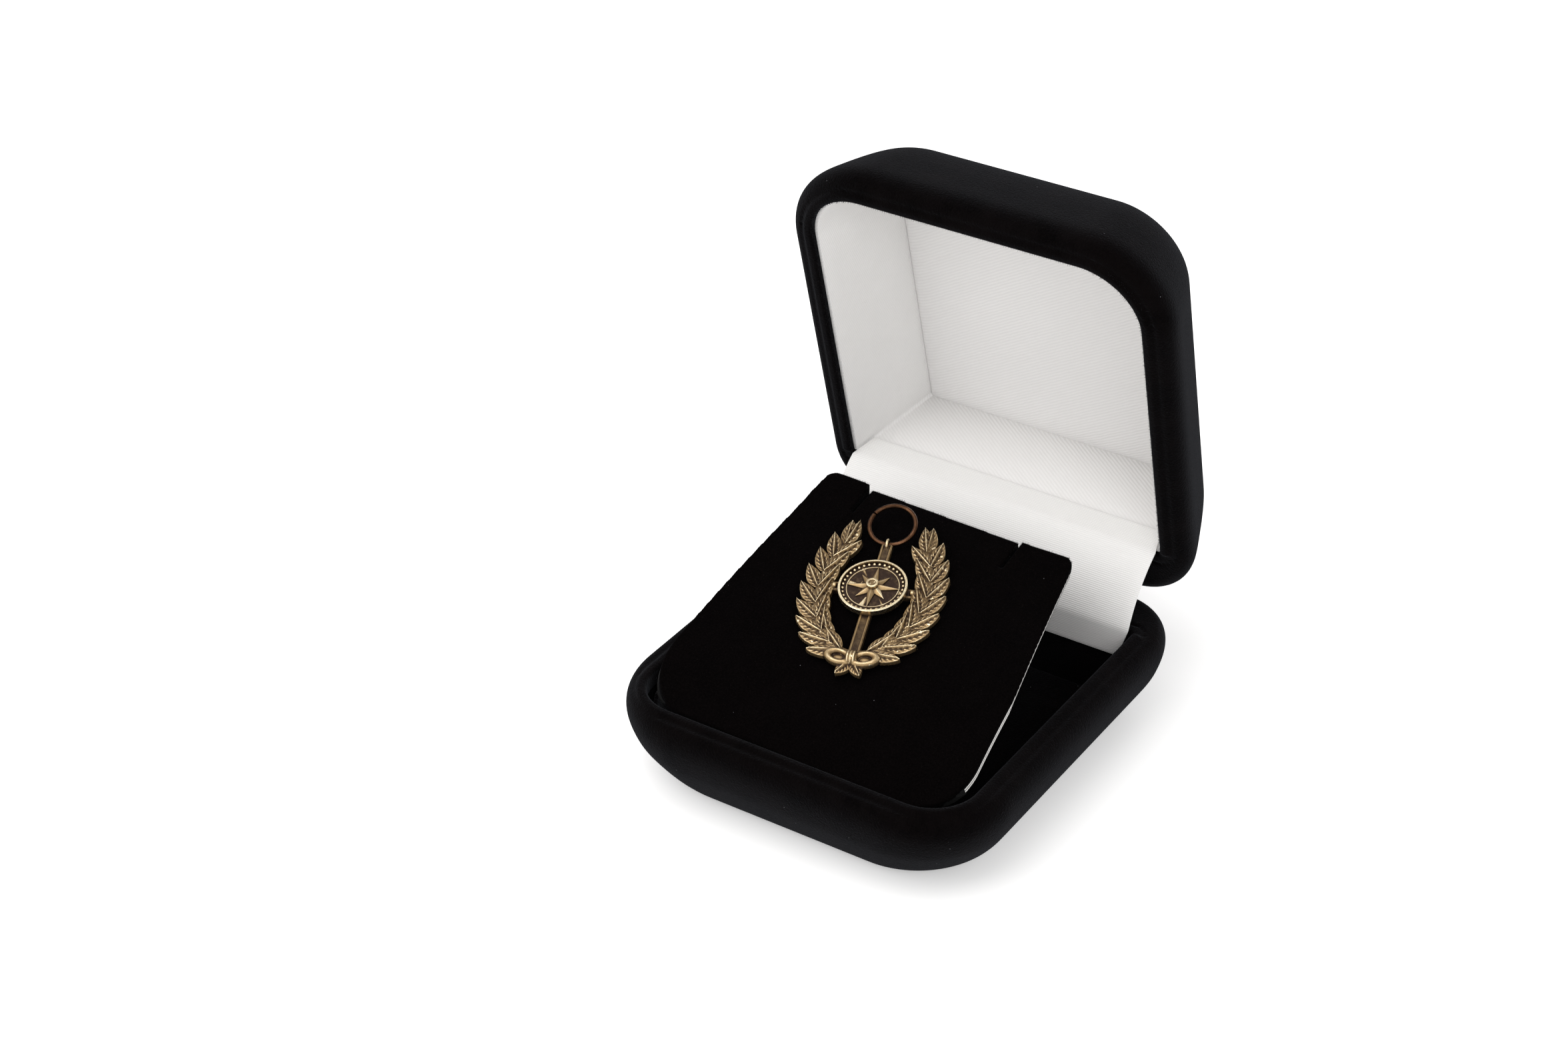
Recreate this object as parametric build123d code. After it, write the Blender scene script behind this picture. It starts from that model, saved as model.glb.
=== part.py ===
"""Velvet presentation box that stands open, with a card insert and a cast brass pin."""

import os
from math import atan2, cos, degrees, hypot, pi, radians, sin, sqrt

from build123d import *

# Openings of the two halves, and the rims around them
opening_width = 72.0
opening_depth = 71.8
base_opening_radius = 9.5
lid_opening_radius = 12.3
opening_rear_radius = 1.0
rim_side_width = 5.6
rim_front_width = 5.2
rim_rear_width = 13.0
front_radius = 18.5
rear_radius = 13.0

# Heights of the two halves, and how far their walls roll in towards foot and crown
base_height = 21.0
lid_height = 26.8
base_roll = 10.4
lid_roll = 13.9
shoulder_drop = 0.6
rim_gap = 0.4

# Rolled walls: depth from the shoulder to the foot, and inset, as shares
base_wall_shares = (
    (0.0, 0.221), (0.034, 0.09), (0.1, 0.024), (0.22, 0.0), (0.35, 0.043), (0.5, 0.139),
    (0.65, 0.298), (0.78, 0.462), (0.9, 0.663), (0.965, 0.827), (1.0, 1.0),
)
lid_wall_shares = (
    (0.0, 0.165), (0.022, 0.098), (0.05, 0.05), (0.085, 0.02), (0.125, 0.009), (0.175, 0.017),
    (0.24, 0.048), (0.32, 0.098), (0.42, 0.164), (0.53, 0.24), (0.64, 0.325), (0.74, 0.418),
    (0.825, 0.528), (0.895, 0.663), (0.95, 0.815), (1.0, 1.0),
)
base_front_follow_share = 0.25
lid_front_follow_share = 0.6
rear_follow_share = 0.7

# Layers of the two halves
velvet = 0.8
shell_wall = 1.2
bead_width = 2.0
bead_edge = 0.5
lip_wall = 1.0
lip_depth = 4.0
groove_width = 0.9
groove_depth = 0.3

# Linings of the base, and its floor board
lining = 0.8
base_lining_drop = 4.2
base_lining_lean = 4.5
base_lining_radius = 12.5
floor_board = 2.0
floor_foot_inset = 7.5
floor_foot_radius = 15.0
floor_rear_radius = 3.5
strip_side_gap = 0.3

# Linings of the lid, its pad and the card behind it
lid_lining_drop = 1.5
lid_lining_lean = 5.9
lid_lining_foot_radius = 10.5
lid_pad_depth = 22.0
lid_card = 0.8
lid_card_inset = 9.2
lid_card_rear_inset = 1.4
lid_crown_inset = 10.9
lid_crown_rear_inset = 3.2
lid_card_radius = 9.0
lid_card_rear_radius = 1.9
fit_gap = 0.1

# Spring hinge
hinge_inset = 0.9
open_angle = 75.0
leaf_width = 34.0
leaf_length = 10.0
leaf_thickness = 0.8
leaf_drop = 0.2
barrel_radius = 1.1
hinge_pin_radius = 0.6
pin_running_gap = 0.05
knuckle_length = 11.0
knuckle_gap = 0.3
notch_gap = 0.3
rivet_radius = 0.9
rivet_head_radius = 1.7
rivet_head = 0.6
rivet_spacing = 16.0
rivet_reach = 6.0
spring_radius = 8.0
spring_width = 4.0
spring_strip = 0.4
spring_inset = 4.0

# Satin ribbon over the hinge
ribbon_side_gap = 0.7
ribbon = 0.4
ribbon_up_lid = 6.0
ribbon_down_base = 6.6
ribbon_bulge = 1.3
ribbon_clear = 0.3
ribbon_taper_share = 0.3
ribbon_taper_depth = 10.0

# Card insert
card = 1.0
insert_velvet_thickness = 0.7
insert_side_gap = 0.4
insert_lid_gap = 0.35
insert_front_drop = 1.1
insert_rear_rise = 17.6
insert_rear_gap = 8.5
insert_arch = 2.4
insert_tilt = 1.7
insert_left_taper = 6.0
insert_right_taper = 9.3
insert_taper_length = 48.0
insert_rear_corner = 2.5
slit_width = 0.8
slit_length = 8.0
slit_left_x = -20.1
slit_right_x = 14.3
front_leg_width = 37.0
leg_inset = 1.5
post_hole_gap = 0.3

# Pin: an oval laurel wreath around a star medallion
pin_x = -5.0
pin_along = 39.5
pin_lean = 18.0
pin_seat_gap = 0.3
wreath_half_width = 10.8
wreath_half_height = 16.6
wreath_stem_radius = 0.7
wreath_stem_height = 1.4
wreath_first_angle = 14.0
wreath_last_angle = 130.0
leaf_count = 9
laurel_length = 6.8
laurel_width = 2.9
laurel_height = 1.6
laurel_step = 0.3
laurel_spread = 28.0
laurel_end_turn = 14.0
medal_radius = 6.8
medal_height = 1.8
medal_rim = 0.8
medal_rim_height = 2.4
star_reach = 5.8
star_short_reach = 4.3
star_waist = 2.0
star_height = 2.9
star_points = 8
ray_width = 2.2
ray_height = 1.2
boss_radius = 1.2
boss_height = 3.3
bow_loop_x = 2.5
bow_loop_length = 3.2
bow_loop_width = 1.9
bow_turn = 16.0
bow_thickness = 2.3
bow_drop = 1.3
bow_knot_radius = 1.4
bow_knot_height = 2.7
bow_tail_length = 4.6
bow_tail_turn = 58.0

# Post, clutch, eye and wire ring behind and above the pin
post_radius = 0.6
post_length = 8.0
clutch_radius = 4.2
clutch_height = 3.4
clutch_cap_radius = 2.2
clutch_wing_width = 3.0
clutch_wing_reach = 6.2
clutch_wing = 0.7
clutch_seat_gap = 0.3
clutch_bore_gap = 0.05
eye_radius = 1.2
eye_height = 2.1
eye_bore = 0.65
eye_bore_z = 0.95
eye_y = 12.3
ring_radius = 4.6
ring_wire = 0.45
ring_tilt = 10.0

# One overrun for all cuts
overrun = 5.0

# Outer sizes that follow
box_width = opening_width + 2 * rim_side_width
box_depth = opening_depth + rim_front_width + rim_rear_width
front_y = -box_depth / 2
rear_y = box_depth / 2
opening_front_y = front_y + rim_front_width
opening_rear_y = rear_y - rim_rear_width
hinge_y = rear_y - hinge_inset
base_rim_z = base_height
lid_rim_z = base_height + rim_gap
hinge_z = base_height + rim_gap / 2
shell_skin = velvet + shell_wall
flange_depth = shoulder_drop + shell_skin
floor_z = shell_skin + floor_board
base_floor_depth = base_height - floor_z
ribbon_width = opening_width - 2 * ribbon_side_gap
spring_spacing = leaf_width - 2 * spring_inset

# What each half is made from: height, roll, wall, how its front corners follow, radius of its opening
base_form = (base_height, base_roll, base_wall_shares, base_front_follow_share, base_opening_radius)
lid_form = (lid_height, lid_roll, lid_wall_shares, lid_front_follow_share, lid_opening_radius)

os.makedirs("parts", exist_ok=True)


def save(name, shape):
    """One STEP file for each piece."""
    export_step(shape, os.path.join("parts", name + ".step"))
    return shape


def plan(half, y_low, y_high, front_r, rear_r):
    """Rectangle seen from above, with its own radius at the front and at the rear corners."""
    face = make_face(Polyline((-half, y_low), (half, y_low), (half, y_high), (-half, y_high), close=True))
    face = fillet(face.vertices().sort_by(Axis.Y)[:2], front_r)
    return fillet(face.vertices().sort_by(Axis.Y)[-2:], rear_r)


def box_plan(inset, front_follow):
    """Outline of the box, drawn in by an inset; the corners tighten more slowly than the walls."""
    return plan(box_width / 2 - inset, front_y + inset, rear_y - inset, front_radius - front_follow * inset,
                rear_radius - rear_follow_share * inset)


def opening_plan(form, grow):
    """Outline of the opening, grown outwards by the given length."""
    return plan(opening_width / 2 + grow, opening_front_y - grow, opening_rear_y + grow, form[-1] + grow,
                opening_rear_radius + grow)


def slab(face, z_low, z_high):
    """Flat shape made solid between two heights."""
    return extrude(Pos(0, 0, z_low) * face, z_high - z_low)


def tapered(upper, z_upper, lower, z_lower):
    """Solid with straight sides between two outlines at two heights."""
    return loft([Pos(0, 0, z_upper) * upper, Pos(0, 0, z_lower) * lower], ruled=True)


def box(x_low, x_high, y_low, y_high, z_low, z_high):
    """Block between its corners."""
    return Pos((x_low + x_high) / 2, (y_low + y_high) / 2, (z_low + z_high) / 2) * Box(
        x_high - x_low, y_high - y_low, z_high - z_low)


def along_x(radius, length):
    """Round bar along X through the origin."""
    return Rot(0, 90, 0) * Cylinder(radius, length)


def pillow(form, skin):
    """Filled outer form of one half, a skin under its surface; rim plane at zero and its body above it."""
    height, roll, shares, front_follow = form[:4]
    start = shoulder_drop + skin
    span = height - shoulder_drop - 2 * skin
    return loft([Pos(0, 0, start + depth_share * span) * box_plan(roll * inset_share + skin, front_follow)
                 for depth_share, inset_share in shares])


def behind(z_high):
    """Everything behind the rear edge of the opening, where the rim has no bead and no lip."""
    side = box_width
    return box(-side, side, opening_rear_y - opening_rear_radius, rear_y + overrun, -overrun, z_high)


def lip(form):
    """Upright lip of the shell beside the opening, at the front and the sides."""
    ring = slab(opening_plan(form, velvet + lip_wall) - opening_plan(form, velvet), velvet, lip_depth)
    return ring - behind(lip_depth + overrun)


def bead(form):
    """Velvet bead beside the opening, over the lip, with its upper edges rounded."""
    ring = slab(opening_plan(form, bead_width) - opening_plan(form, 0), 0, lip_depth)
    ring -= behind(lip_depth + overrun)
    cut_y = opening_rear_y - opening_rear_radius - fit_gap
    top = [e for e in ring.edges().filter_by_position(Axis.Z, -fit_gap, fit_gap) if e.center().Y < cut_y]
    return fillet(top, bead_edge)


def hinge_notch():
    """Room for the hinge leaf and its barrel in the rear rim, measured from the rim plane."""
    half = leaf_width / 2 + notch_gap
    flat = box(-half, half, hinge_y - leaf_length - notch_gap, hinge_y, -overrun, leaf_drop + leaf_thickness)
    return flat + Pos(0, hinge_y, -rim_gap / 2) * along_x(barrel_radius + notch_gap, 2 * half)


def rivet_place(side):
    """Place of the left or the right rivet of a leaf."""
    return Pos(side * rivet_spacing / 2, hinge_y - rivet_reach, 0)


def without_hinge(shape):
    """Cut the hinge's notch and the bores of its rivets from a shell or a cover."""
    shape -= hinge_notch()
    for side in (-1, 1):
        shape -= rivet_place(side) * Cylinder(rivet_radius + fit_gap / 2, 4 * overrun)
    return shape


def moulding(form):
    """Filled moulding of one half, with its lip, hollow only in the opening down to the lip's foot."""
    core = pillow(form, velvet) - slab(opening_plan(form, velvet), -overrun, lip_depth)
    return core + lip(form)


def half_shell(form):
    """Moulded shell: rolled wall, rim flange and a lip beside the opening."""
    side = box_width
    hollow = pillow(form, shell_skin) & box(-side, side, -side, side, flange_depth, form[0])
    below = slab(opening_plan(form, velvet), -overrun, form[0] / 2)
    return without_hinge(moulding(form) - hollow - below)


def half_cover(form):
    """Velvet over the shell, with a bead, a groove beside it and a turned-in edge in the opening."""
    outer_groove = opening_plan(form, bead_width + groove_width)
    groove = slab(outer_groove - opening_plan(form, bead_width), -overrun, shoulder_drop + groove_depth)
    cover = pillow(form, 0) + bead(form) - groove - moulding(form)
    cover -= slab(opening_plan(form, 0), -overrun, form[0] / 2)
    return without_hinge(cover)


def lining_well(form, skin, drop, depth, lean, top_radius, foot_radius):
    """Filled space inside a lining; it leans in at the sides and the front, and is upright at the rear."""
    top = opening_width / 2 - skin
    rear = opening_rear_y - skin
    rear_r = opening_rear_radius - skin / 2
    upper = plan(top, opening_front_y + skin, rear, top_radius - skin, rear_r)
    lower = plan(top - lean, opening_front_y + skin + lean, rear, foot_radius - skin / 2, rear_r)
    return tapered(upper, drop, lower, depth)


def wall_lining(form, drop, depth, lean, top_radius, foot_radius):
    """Lining round the left, front and right walls, and the strip on the rear wall."""
    sizes = (drop, depth, lean, top_radius, foot_radius)
    walls = lining_well(form, 0, *sizes) - lining_well(form, lining, *sizes)
    side = box_width
    walls -= box(-side, side, opening_rear_y - lining, rear_y, -overrun, depth + overrun)
    half_top = opening_width / 2 - lining - strip_side_gap
    half_foot = half_top - lean
    outline = Polyline((-half_top, drop), (half_top, drop), (half_foot, depth), (-half_foot, depth), close=True)
    strip = extrude(Plane.XZ.offset(-opening_rear_y) * make_face(outline), lining)
    return walls, strip


def hinge_leaf(outer_knuckles):
    """Steel leaf on one rim, with its body towards the rim and the hinge axis on the Y-Z origin."""
    half = leaf_width / 2
    low = -(rim_gap / 2 + leaf_drop + leaf_thickness)
    leaf = box(-half, half, -leaf_length, 0, low, low + leaf_thickness) + along_x(barrel_radius, leaf_width)
    inner = knuckle_length / 2
    clear = barrel_radius + knuckle_gap
    if outer_knuckles:
        leaf -= along_x(clear, knuckle_length + 2 * knuckle_gap)
    else:
        for side in (-1, 1):
            middle = side * (inner + half + overrun) / 2
            leaf -= Pos(middle, 0, 0) * along_x(clear, half + overrun - inner)
    leaf -= along_x(hinge_pin_radius + pin_running_gap, leaf_width + 2 * overrun)
    for side in (-1, 1):
        leaf -= Pos(side * rivet_spacing / 2, -rivet_reach, 0) * Cylinder(rivet_radius + fit_gap / 2, 4 * overrun)
    return leaf


def rivet(side):
    """Rivet of a leaf, with the rim plane at zero and the body above it."""
    shank = Pos(0, 0, (leaf_drop + flange_depth) / 2) * Cylinder(rivet_radius, flange_depth - leaf_drop)
    head = Pos(0, 0, flange_depth + rivet_head / 2) * Cylinder(rivet_head_radius, rivet_head)
    return rivet_place(side) * (shank + head)


def to_base(shape):
    """Turn a half with its body above the rim plane over, to hang below the base's rim."""
    return Pos(0, 0, base_rim_z) * mirror(shape, Plane.XY)


def open_lid(shape):
    """Swing a closed lid's piece open to where it stands."""
    return Pos(0, hinge_y, hinge_z) * Rot(-open_angle, 0, 0) * Pos(0, -hinge_y, -hinge_z) * shape


def to_lid(shape):
    """Set a half with its body above the rim plane on the lid's rim, and open it."""
    return open_lid(Pos(0, 0, lid_rim_z) * shape)


def section(points):
    """Closed outline in the Y-Z plane, from points and (middle, end) arcs, as a face."""
    edges = []
    start = points[0]
    for step in points[1:]:
        if isinstance(step[0], tuple):
            edges.append(ThreePointArc(start, step[0], step[1]))
            start = step[1]
        else:
            edges.append(Line(start, step))
            start = step
    return Plane.YZ * make_face(edges)


def across(face, x_low, x_high):
    """Y-Z section made solid across the box."""
    return Pos(x_low, 0, 0) * extrude(face, x_high - x_low, dir=(1, 0, 0))


# Base: shell, cover, linings and floor
save("base_shell", to_base(half_shell(base_form)))
save("base_velvet_cover", to_base(half_cover(base_form)))
base_walls, base_rear = wall_lining(base_form, base_lining_drop, base_floor_depth, base_lining_lean,
                                    base_lining_radius, base_lining_radius)
save("base_wall_lining", to_base(base_walls))
save("base_rear_lining", to_base(base_rear))
floor_top = plan(opening_width / 2 - base_lining_lean, opening_front_y + base_lining_lean, opening_rear_y,
                 base_lining_radius, opening_rear_radius)
floor_foot = plan(opening_width / 2 - floor_foot_inset, opening_front_y + floor_foot_inset, opening_rear_y,
                  floor_foot_radius, floor_rear_radius)
save("base_floor_card", tapered(floor_top, floor_z, floor_foot, shell_skin))

# Lid: shell, cover, linings, card and padded panel
save("lid_shell", to_lid(half_shell(lid_form)))
save("lid_velvet_cover", to_lid(half_cover(lid_form)))
lid_walls, lid_rear = wall_lining(lid_form, lid_lining_drop, lid_pad_depth, lid_lining_lean,
                                  lid_opening_radius, lid_lining_foot_radius)
save("lid_wall_lining", to_lid(lid_walls))
save("lid_rear_lining", to_lid(lid_rear))
lid_crown_depth = lid_height - shell_skin
lid_card_depth = lid_crown_depth - lid_card
pad_face = plan(opening_width / 2 - lid_lining_lean, opening_front_y + lid_lining_lean, opening_rear_y,
                lid_lining_foot_radius, opening_rear_radius)
card_face = plan(opening_width / 2 - lid_card_inset, opening_front_y + lid_card_inset,
                 opening_rear_y - lid_card_rear_inset, lid_card_radius, lid_card_rear_radius)
card_back = plan(opening_width / 2 - lid_crown_inset, opening_front_y + lid_crown_inset,
                 opening_rear_y - lid_crown_rear_inset, lid_card_radius, lid_card_rear_radius)
save("lid_top_pad", to_lid(tapered(card_face, lid_card_depth, pad_face, lid_pad_depth)))
save("lid_top_card", to_lid(tapered(card_back, lid_crown_depth, card_face, lid_card_depth)))

# Spring hinge under the ribbon
hinge_place = Pos(0, hinge_y, hinge_z)
save("base_hinge_leaf", hinge_place * hinge_leaf(True))
save("lid_hinge_leaf", open_lid(hinge_place * mirror(hinge_leaf(False), Plane.XY)))
save("hinge_pin", hinge_place * along_x(hinge_pin_radius, leaf_width))
for side, side_name in ((-1, "left"), (1, "right")):
    save("base_hinge_rivet_" + side_name, to_base(rivet(side)))
    save("lid_hinge_rivet_" + side_name, to_lid(rivet(side)))


def snap_spring(x):
    """Bowed strip of spring steel from one leaf to the other, round the hinge axis."""
    seat = rim_gap / 2 + leaf_drop
    reach = sqrt(spring_radius ** 2 - seat ** 2)
    outer = spring_radius + spring_strip
    outer_reach = sqrt(outer ** 2 - seat ** 2)
    swing = radians(open_angle)

    def turned(y, z):
        return (y * cos(swing) + z * sin(swing), -y * sin(swing) + z * cos(swing))

    middle = pi - swing / 2
    inner_arc = [(-reach, -seat), ((spring_radius * cos(middle), spring_radius * sin(middle)), turned(-reach, seat))]
    outer_arc = [turned(-outer_reach, seat), ((outer * cos(middle), outer * sin(middle)), (-outer_reach, -seat))]
    face = section(inner_arc + outer_arc + [(-reach, -seat)])
    return hinge_place * across(face, x - spring_width / 2, x + spring_width / 2)


save("snap_spring_left", snap_spring(-spring_spacing / 2))
save("snap_spring_right", snap_spring(spring_spacing / 2))


def ribbon_section():
    """Ribbon from the lid's rear lining, over the gap, down the base's rear lining."""
    lid_face = hinge_y - opening_rear_y + lining
    swing = radians(open_angle)

    def in_lid(s, t):
        """Point of the closed lid, s in front of the axis and t above it, where the lid stands open."""
        return (-s * cos(swing) + t * sin(swing), s * sin(swing) + t * cos(swing))

    base_face = -(hinge_y - opening_rear_y + lining)
    near = ribbon_clear
    far = ribbon_clear + ribbon
    lid_top_near = in_lid(lid_face + near, ribbon_up_lid)
    lid_edge_near = in_lid(lid_face + near, 0)
    base_edge_near = (base_face - near, 0)
    base_foot_near = (base_face - near, -ribbon_down_base)
    base_foot_far = (base_face - far, -ribbon_down_base)
    base_edge_far = (base_face - far, 0)
    lid_edge_far = in_lid(lid_face + far, 0)
    lid_top_far = in_lid(lid_face + far, ribbon_up_lid)

    def bulged(a, b, out):
        length = hypot(b[0] - a[0], b[1] - a[1])
        normal = ((b[1] - a[1]) / length, -(b[0] - a[0]) / length)
        return ((a[0] + b[0]) / 2 - abs(normal[0]) * out, (a[1] + b[1]) / 2 + abs(normal[1]) * out)

    near_middle = bulged(lid_edge_near, base_edge_near, ribbon_bulge)
    far_middle = bulged(base_edge_far, lid_edge_far, ribbon_bulge + ribbon)
    return section([lid_top_near, lid_edge_near, (near_middle, base_edge_near), base_foot_near, base_foot_far,
                    base_edge_far, (far_middle, lid_edge_far), lid_top_far, lid_top_near])


def ribbon_trim(side):
    """Wedge that narrows the ribbon between the leaning linings, with the rim plane at zero."""
    half = ribbon_width / 2
    outline = Polyline((side * half, 0), (side * (half + overrun), 0), (side * (half + overrun), ribbon_taper_depth),
                       (side * (half - ribbon_taper_share * ribbon_taper_depth), ribbon_taper_depth), close=True)
    return extrude(Plane.XZ.offset(-rear_y) * make_face(outline), box_depth)


hinge_ribbon = hinge_place * across(ribbon_section(), -ribbon_width / 2, ribbon_width / 2)
for side in (-1, 1):
    hinge_ribbon -= to_base(ribbon_trim(side))
    hinge_ribbon -= to_lid(ribbon_trim(side))
save("hinge_ribbon", hinge_ribbon)

# Insert: sloping card with velvet, raised at the rear by its folded legs
insert_front_y = opening_front_y + insert_side_gap
insert_rear_y = opening_rear_y - insert_rear_gap
insert_front_z = hinge_z - insert_front_drop
insert_rear_z = hinge_z + insert_rear_rise
insert_run = insert_rear_y - insert_front_y
insert_rise = insert_rear_z - insert_front_z
insert_slope = degrees(atan2(insert_rise, insert_run))


def insert_layer(top_drop, bottom_drop):
    """Layer of the arched slope, between two depths under its face, wider than the box and a little askew."""
    mid_y = (insert_front_y + insert_rear_y) / 2
    mid_z = (insert_front_z + insert_rear_z) / 2 + insert_arch
    top = [(insert_front_y, insert_front_z - top_drop),
           ((mid_y, mid_z - top_drop), (insert_rear_y, insert_rear_z - top_drop))]
    bottom = [(insert_rear_y, insert_rear_z - bottom_drop),
              ((mid_y, mid_z - bottom_drop), (insert_front_y, insert_front_z - bottom_drop))]
    return Rot(0, insert_tilt, 0) * across(section(top + bottom + [top[0]]), -box_width, box_width)


def lid_room(gap):
    """Space inside the shut lid's lining, less a gap, carried on down through the base's opening."""
    lean = lid_lining_lean * (lid_pad_depth + gap) / (lid_pad_depth - lid_lining_drop)
    skin = lining + gap + lid_lining_lean - lean
    well = lining_well(lid_form, skin, -gap, lid_pad_depth, lean, lid_opening_radius, lid_lining_foot_radius)
    return Pos(0, 0, lid_rim_z) * well + slab(opening_plan(base_form, -insert_side_gap / 2), 0, lid_rim_z - gap)


def insert_plan(inset):
    """Outline of the insert from above: it fills the front of the opening and narrows to the rear."""
    half = opening_width / 2 - insert_side_gap - inset
    rear = insert_rear_y - inset
    turn_y = insert_rear_y - insert_taper_length
    left_rear = -half + insert_left_taper
    right_rear = half - insert_right_taper
    face = make_face(Polyline(
        (-half, insert_front_y + inset), (half, insert_front_y + inset), (half, turn_y), (right_rear, rear),
        (left_rear, rear), (-half, turn_y), close=True))
    corner = lid_opening_radius - insert_side_gap - inset
    face = fillet(face.vertices().sort_by(Axis.Y)[:2], corner)
    return fillet(face.vertices().sort_by(Axis.Y)[-2:], insert_rear_corner - inset)


def insert_sheet(top_drop, bottom_drop, inset):
    """One layer of the insert, cut to its outline and to the shut lid's room, and slit at the rear."""
    sheet = insert_layer(top_drop, bottom_drop) & slab(insert_plan(inset), 0, insert_rear_z + overrun)
    sheet &= lid_room(insert_lid_gap + inset)
    for x in (slit_left_x, slit_right_x):
        sheet -= box(x - slit_width / 2, x + slit_width / 2, insert_rear_y - slit_length, insert_rear_y + overrun,
                     0, insert_rear_z + overrun)
    return sheet


def leg(x_low, x_high, y_low):
    """Upright leg from the floor board to the underside of the slope."""
    return box(x_low, x_high, y_low, y_low + card, floor_z, insert_rear_z + overrun) & insert_layer(
        card_top, insert_rear_z)


card_top = insert_velvet_thickness
card_bottom = insert_velvet_thickness + card
front_leg_y = opening_front_y + base_lining_lean + leg_inset
insert_card = insert_sheet(card_top, card_bottom, 2 * fit_gap)
insert_card += leg(slit_left_x + slit_width / 2, slit_right_x - slit_width / 2, insert_rear_y - 2 * fit_gap - card)
insert_card += leg(-front_leg_width / 2, front_leg_width / 2, front_leg_y)
insert_velvet = insert_sheet(0, card_top, fit_gap)

# Pin frame: its back lies on the slope, and its own up leans to the left
insert_length = hypot(insert_run, insert_rise)
share_along = pin_along / insert_length
pin_y = insert_front_y + insert_run * share_along
pin_z = insert_front_z + insert_rise * share_along + 4 * insert_arch * share_along * (1 - share_along)
arch_slope = degrees(4 * insert_arch * (1 - 2 * share_along) / insert_length)
pin_slope = insert_slope + arch_slope
pin_frame = (Rot(0, insert_tilt, 0) * Pos(pin_x, pin_y, pin_z) * Rot(pin_slope, 0, 0)
             * Pos(0, 0, pin_seat_gap) * Rot(0, 0, pin_lean))


def on_pin(shape):
    """Place a shape drawn on the pin's back plane where the pin lies."""
    return pin_frame * shape


post_hole = on_pin(Cylinder(post_radius + post_hole_gap, 4 * overrun))
save("insert_card", insert_card - post_hole)
save("insert_velvet", insert_velvet - post_hole)


def laurel_leaf(length, width, height):
    """Pointed leaf along X from its foot, its two edges one arc each."""
    edges = [ThreePointArc((0, 0), (length / 2, width / 2), (length, 0)),
             ThreePointArc((length, 0), (length / 2, -width / 2), (0, 0))]
    return extrude(make_face(edges), height)


def wreath_point(angle):
    """Point of the wreath's stem, the angle counted from its foot."""
    return wreath_half_width * sin(angle), -wreath_half_height * cos(angle)


def wreath_heading(angle):
    """Direction of the stem, away from its foot."""
    return atan2(wreath_half_height * sin(angle), wreath_half_width * cos(angle))


def branch(side):
    """One branch of the wreath: pairs of leaves from the foot upwards, the last leaf turned to the tip."""
    leaves = []
    for index in range(leaf_count):
        share = index / (leaf_count - 1)
        angle = radians(wreath_first_angle + (wreath_last_angle - wreath_first_angle) * share)
        x, y = wreath_point(angle)
        heading = degrees(wreath_heading(angle))
        last = index == leaf_count - 1
        for order, turn in enumerate((-laurel_spread, -laurel_end_turn if last else laurel_spread)):
            leaf = laurel_leaf(laurel_length, laurel_width, laurel_height + laurel_step * order)
            way = heading + turn
            leaves.append(Pos(side * x, y, 0) * Rot(0, 0, way if side > 0 else 180 - way) * leaf)
    return leaves


def wreath():
    """Two laurel branches on a flat stem, a bow at the foot, and a cross that carries the medallion."""
    outer = Ellipse(wreath_half_width + wreath_stem_radius, wreath_half_height + wreath_stem_radius)
    inner = Ellipse(wreath_half_width - wreath_stem_radius, wreath_half_height - wreath_stem_radius)
    body = extrude(outer - inner, wreath_stem_height)
    tip_x, tip_y = wreath_point(radians(wreath_last_angle))
    body -= box(-box_width, box_width, tip_y + wreath_stem_radius, box_width, -overrun, overrun)
    for side in (-1, 1):
        for leaf in branch(side):
            body += leaf
    body += box(-wreath_half_width, wreath_half_width, -ray_width / 2, ray_width / 2, 0, ray_height)
    body += box(-ray_width / 2, ray_width / 2, -wreath_half_height, eye_y, 0, ray_height)
    foot = -wreath_half_height - bow_drop
    for side in (-1, 1):
        loop = Pos(side * bow_loop_x, foot, 0) * Rot(0, 0, side * bow_turn)
        body += loop * extrude(Ellipse(bow_loop_length, bow_loop_width), bow_thickness)
        tail = laurel_leaf(bow_tail_length, laurel_width, laurel_height)
        body += Pos(0, foot, 0) * Rot(0, 0, -bow_tail_turn if side > 0 else bow_tail_turn - 180) * tail
    body += Pos(0, foot, bow_knot_height / 2) * Cylinder(bow_knot_radius, bow_knot_height)
    body += Pos(0, eye_y, eye_height / 2) * Cylinder(eye_radius, eye_height)
    body -= Pos(0, eye_y, eye_bore_z) * along_x(eye_bore, 4 * eye_radius)
    return body - Cylinder(post_radius, 4 * overrun)


def medallion():
    """Round plate with a raised rim and an eight-pointed star, on the cross of the wreath."""
    base = Pos(0, 0, ray_height)
    body = base * extrude(Circle(medal_radius), medal_height - ray_height)
    body += base * extrude(Circle(medal_radius) - Circle(medal_radius - medal_rim), medal_rim_height - ray_height)
    points = []
    for index in range(2 * star_points):
        turn = pi * index / star_points
        reach = (star_reach, star_waist, star_short_reach, star_waist)[index % 4]
        points.append((reach * sin(turn), reach * cos(turn)))
    body += base * extrude(make_face(Polyline(*points, close=True)), star_height - ray_height)
    return body - Cylinder(post_radius, 4 * overrun)


def riveted_post():
    """Post through the pin, with its riveted head in the middle of the star."""
    shank_low = -post_length
    shank = Pos(0, 0, (shank_low + star_height) / 2) * Cylinder(post_radius, star_height - shank_low)
    head = Pos(0, 0, (star_height + boss_height) / 2) * Cylinder(boss_radius, boss_height - star_height)
    return shank + head


save("pin_wreath", on_pin(wreath()))
save("pin_medallion", on_pin(medallion()))
save("pin_post", on_pin(riveted_post()))

# Clutch on the post, under the card
card_under = -(pin_seat_gap + card_bottom + clutch_seat_gap)


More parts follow.
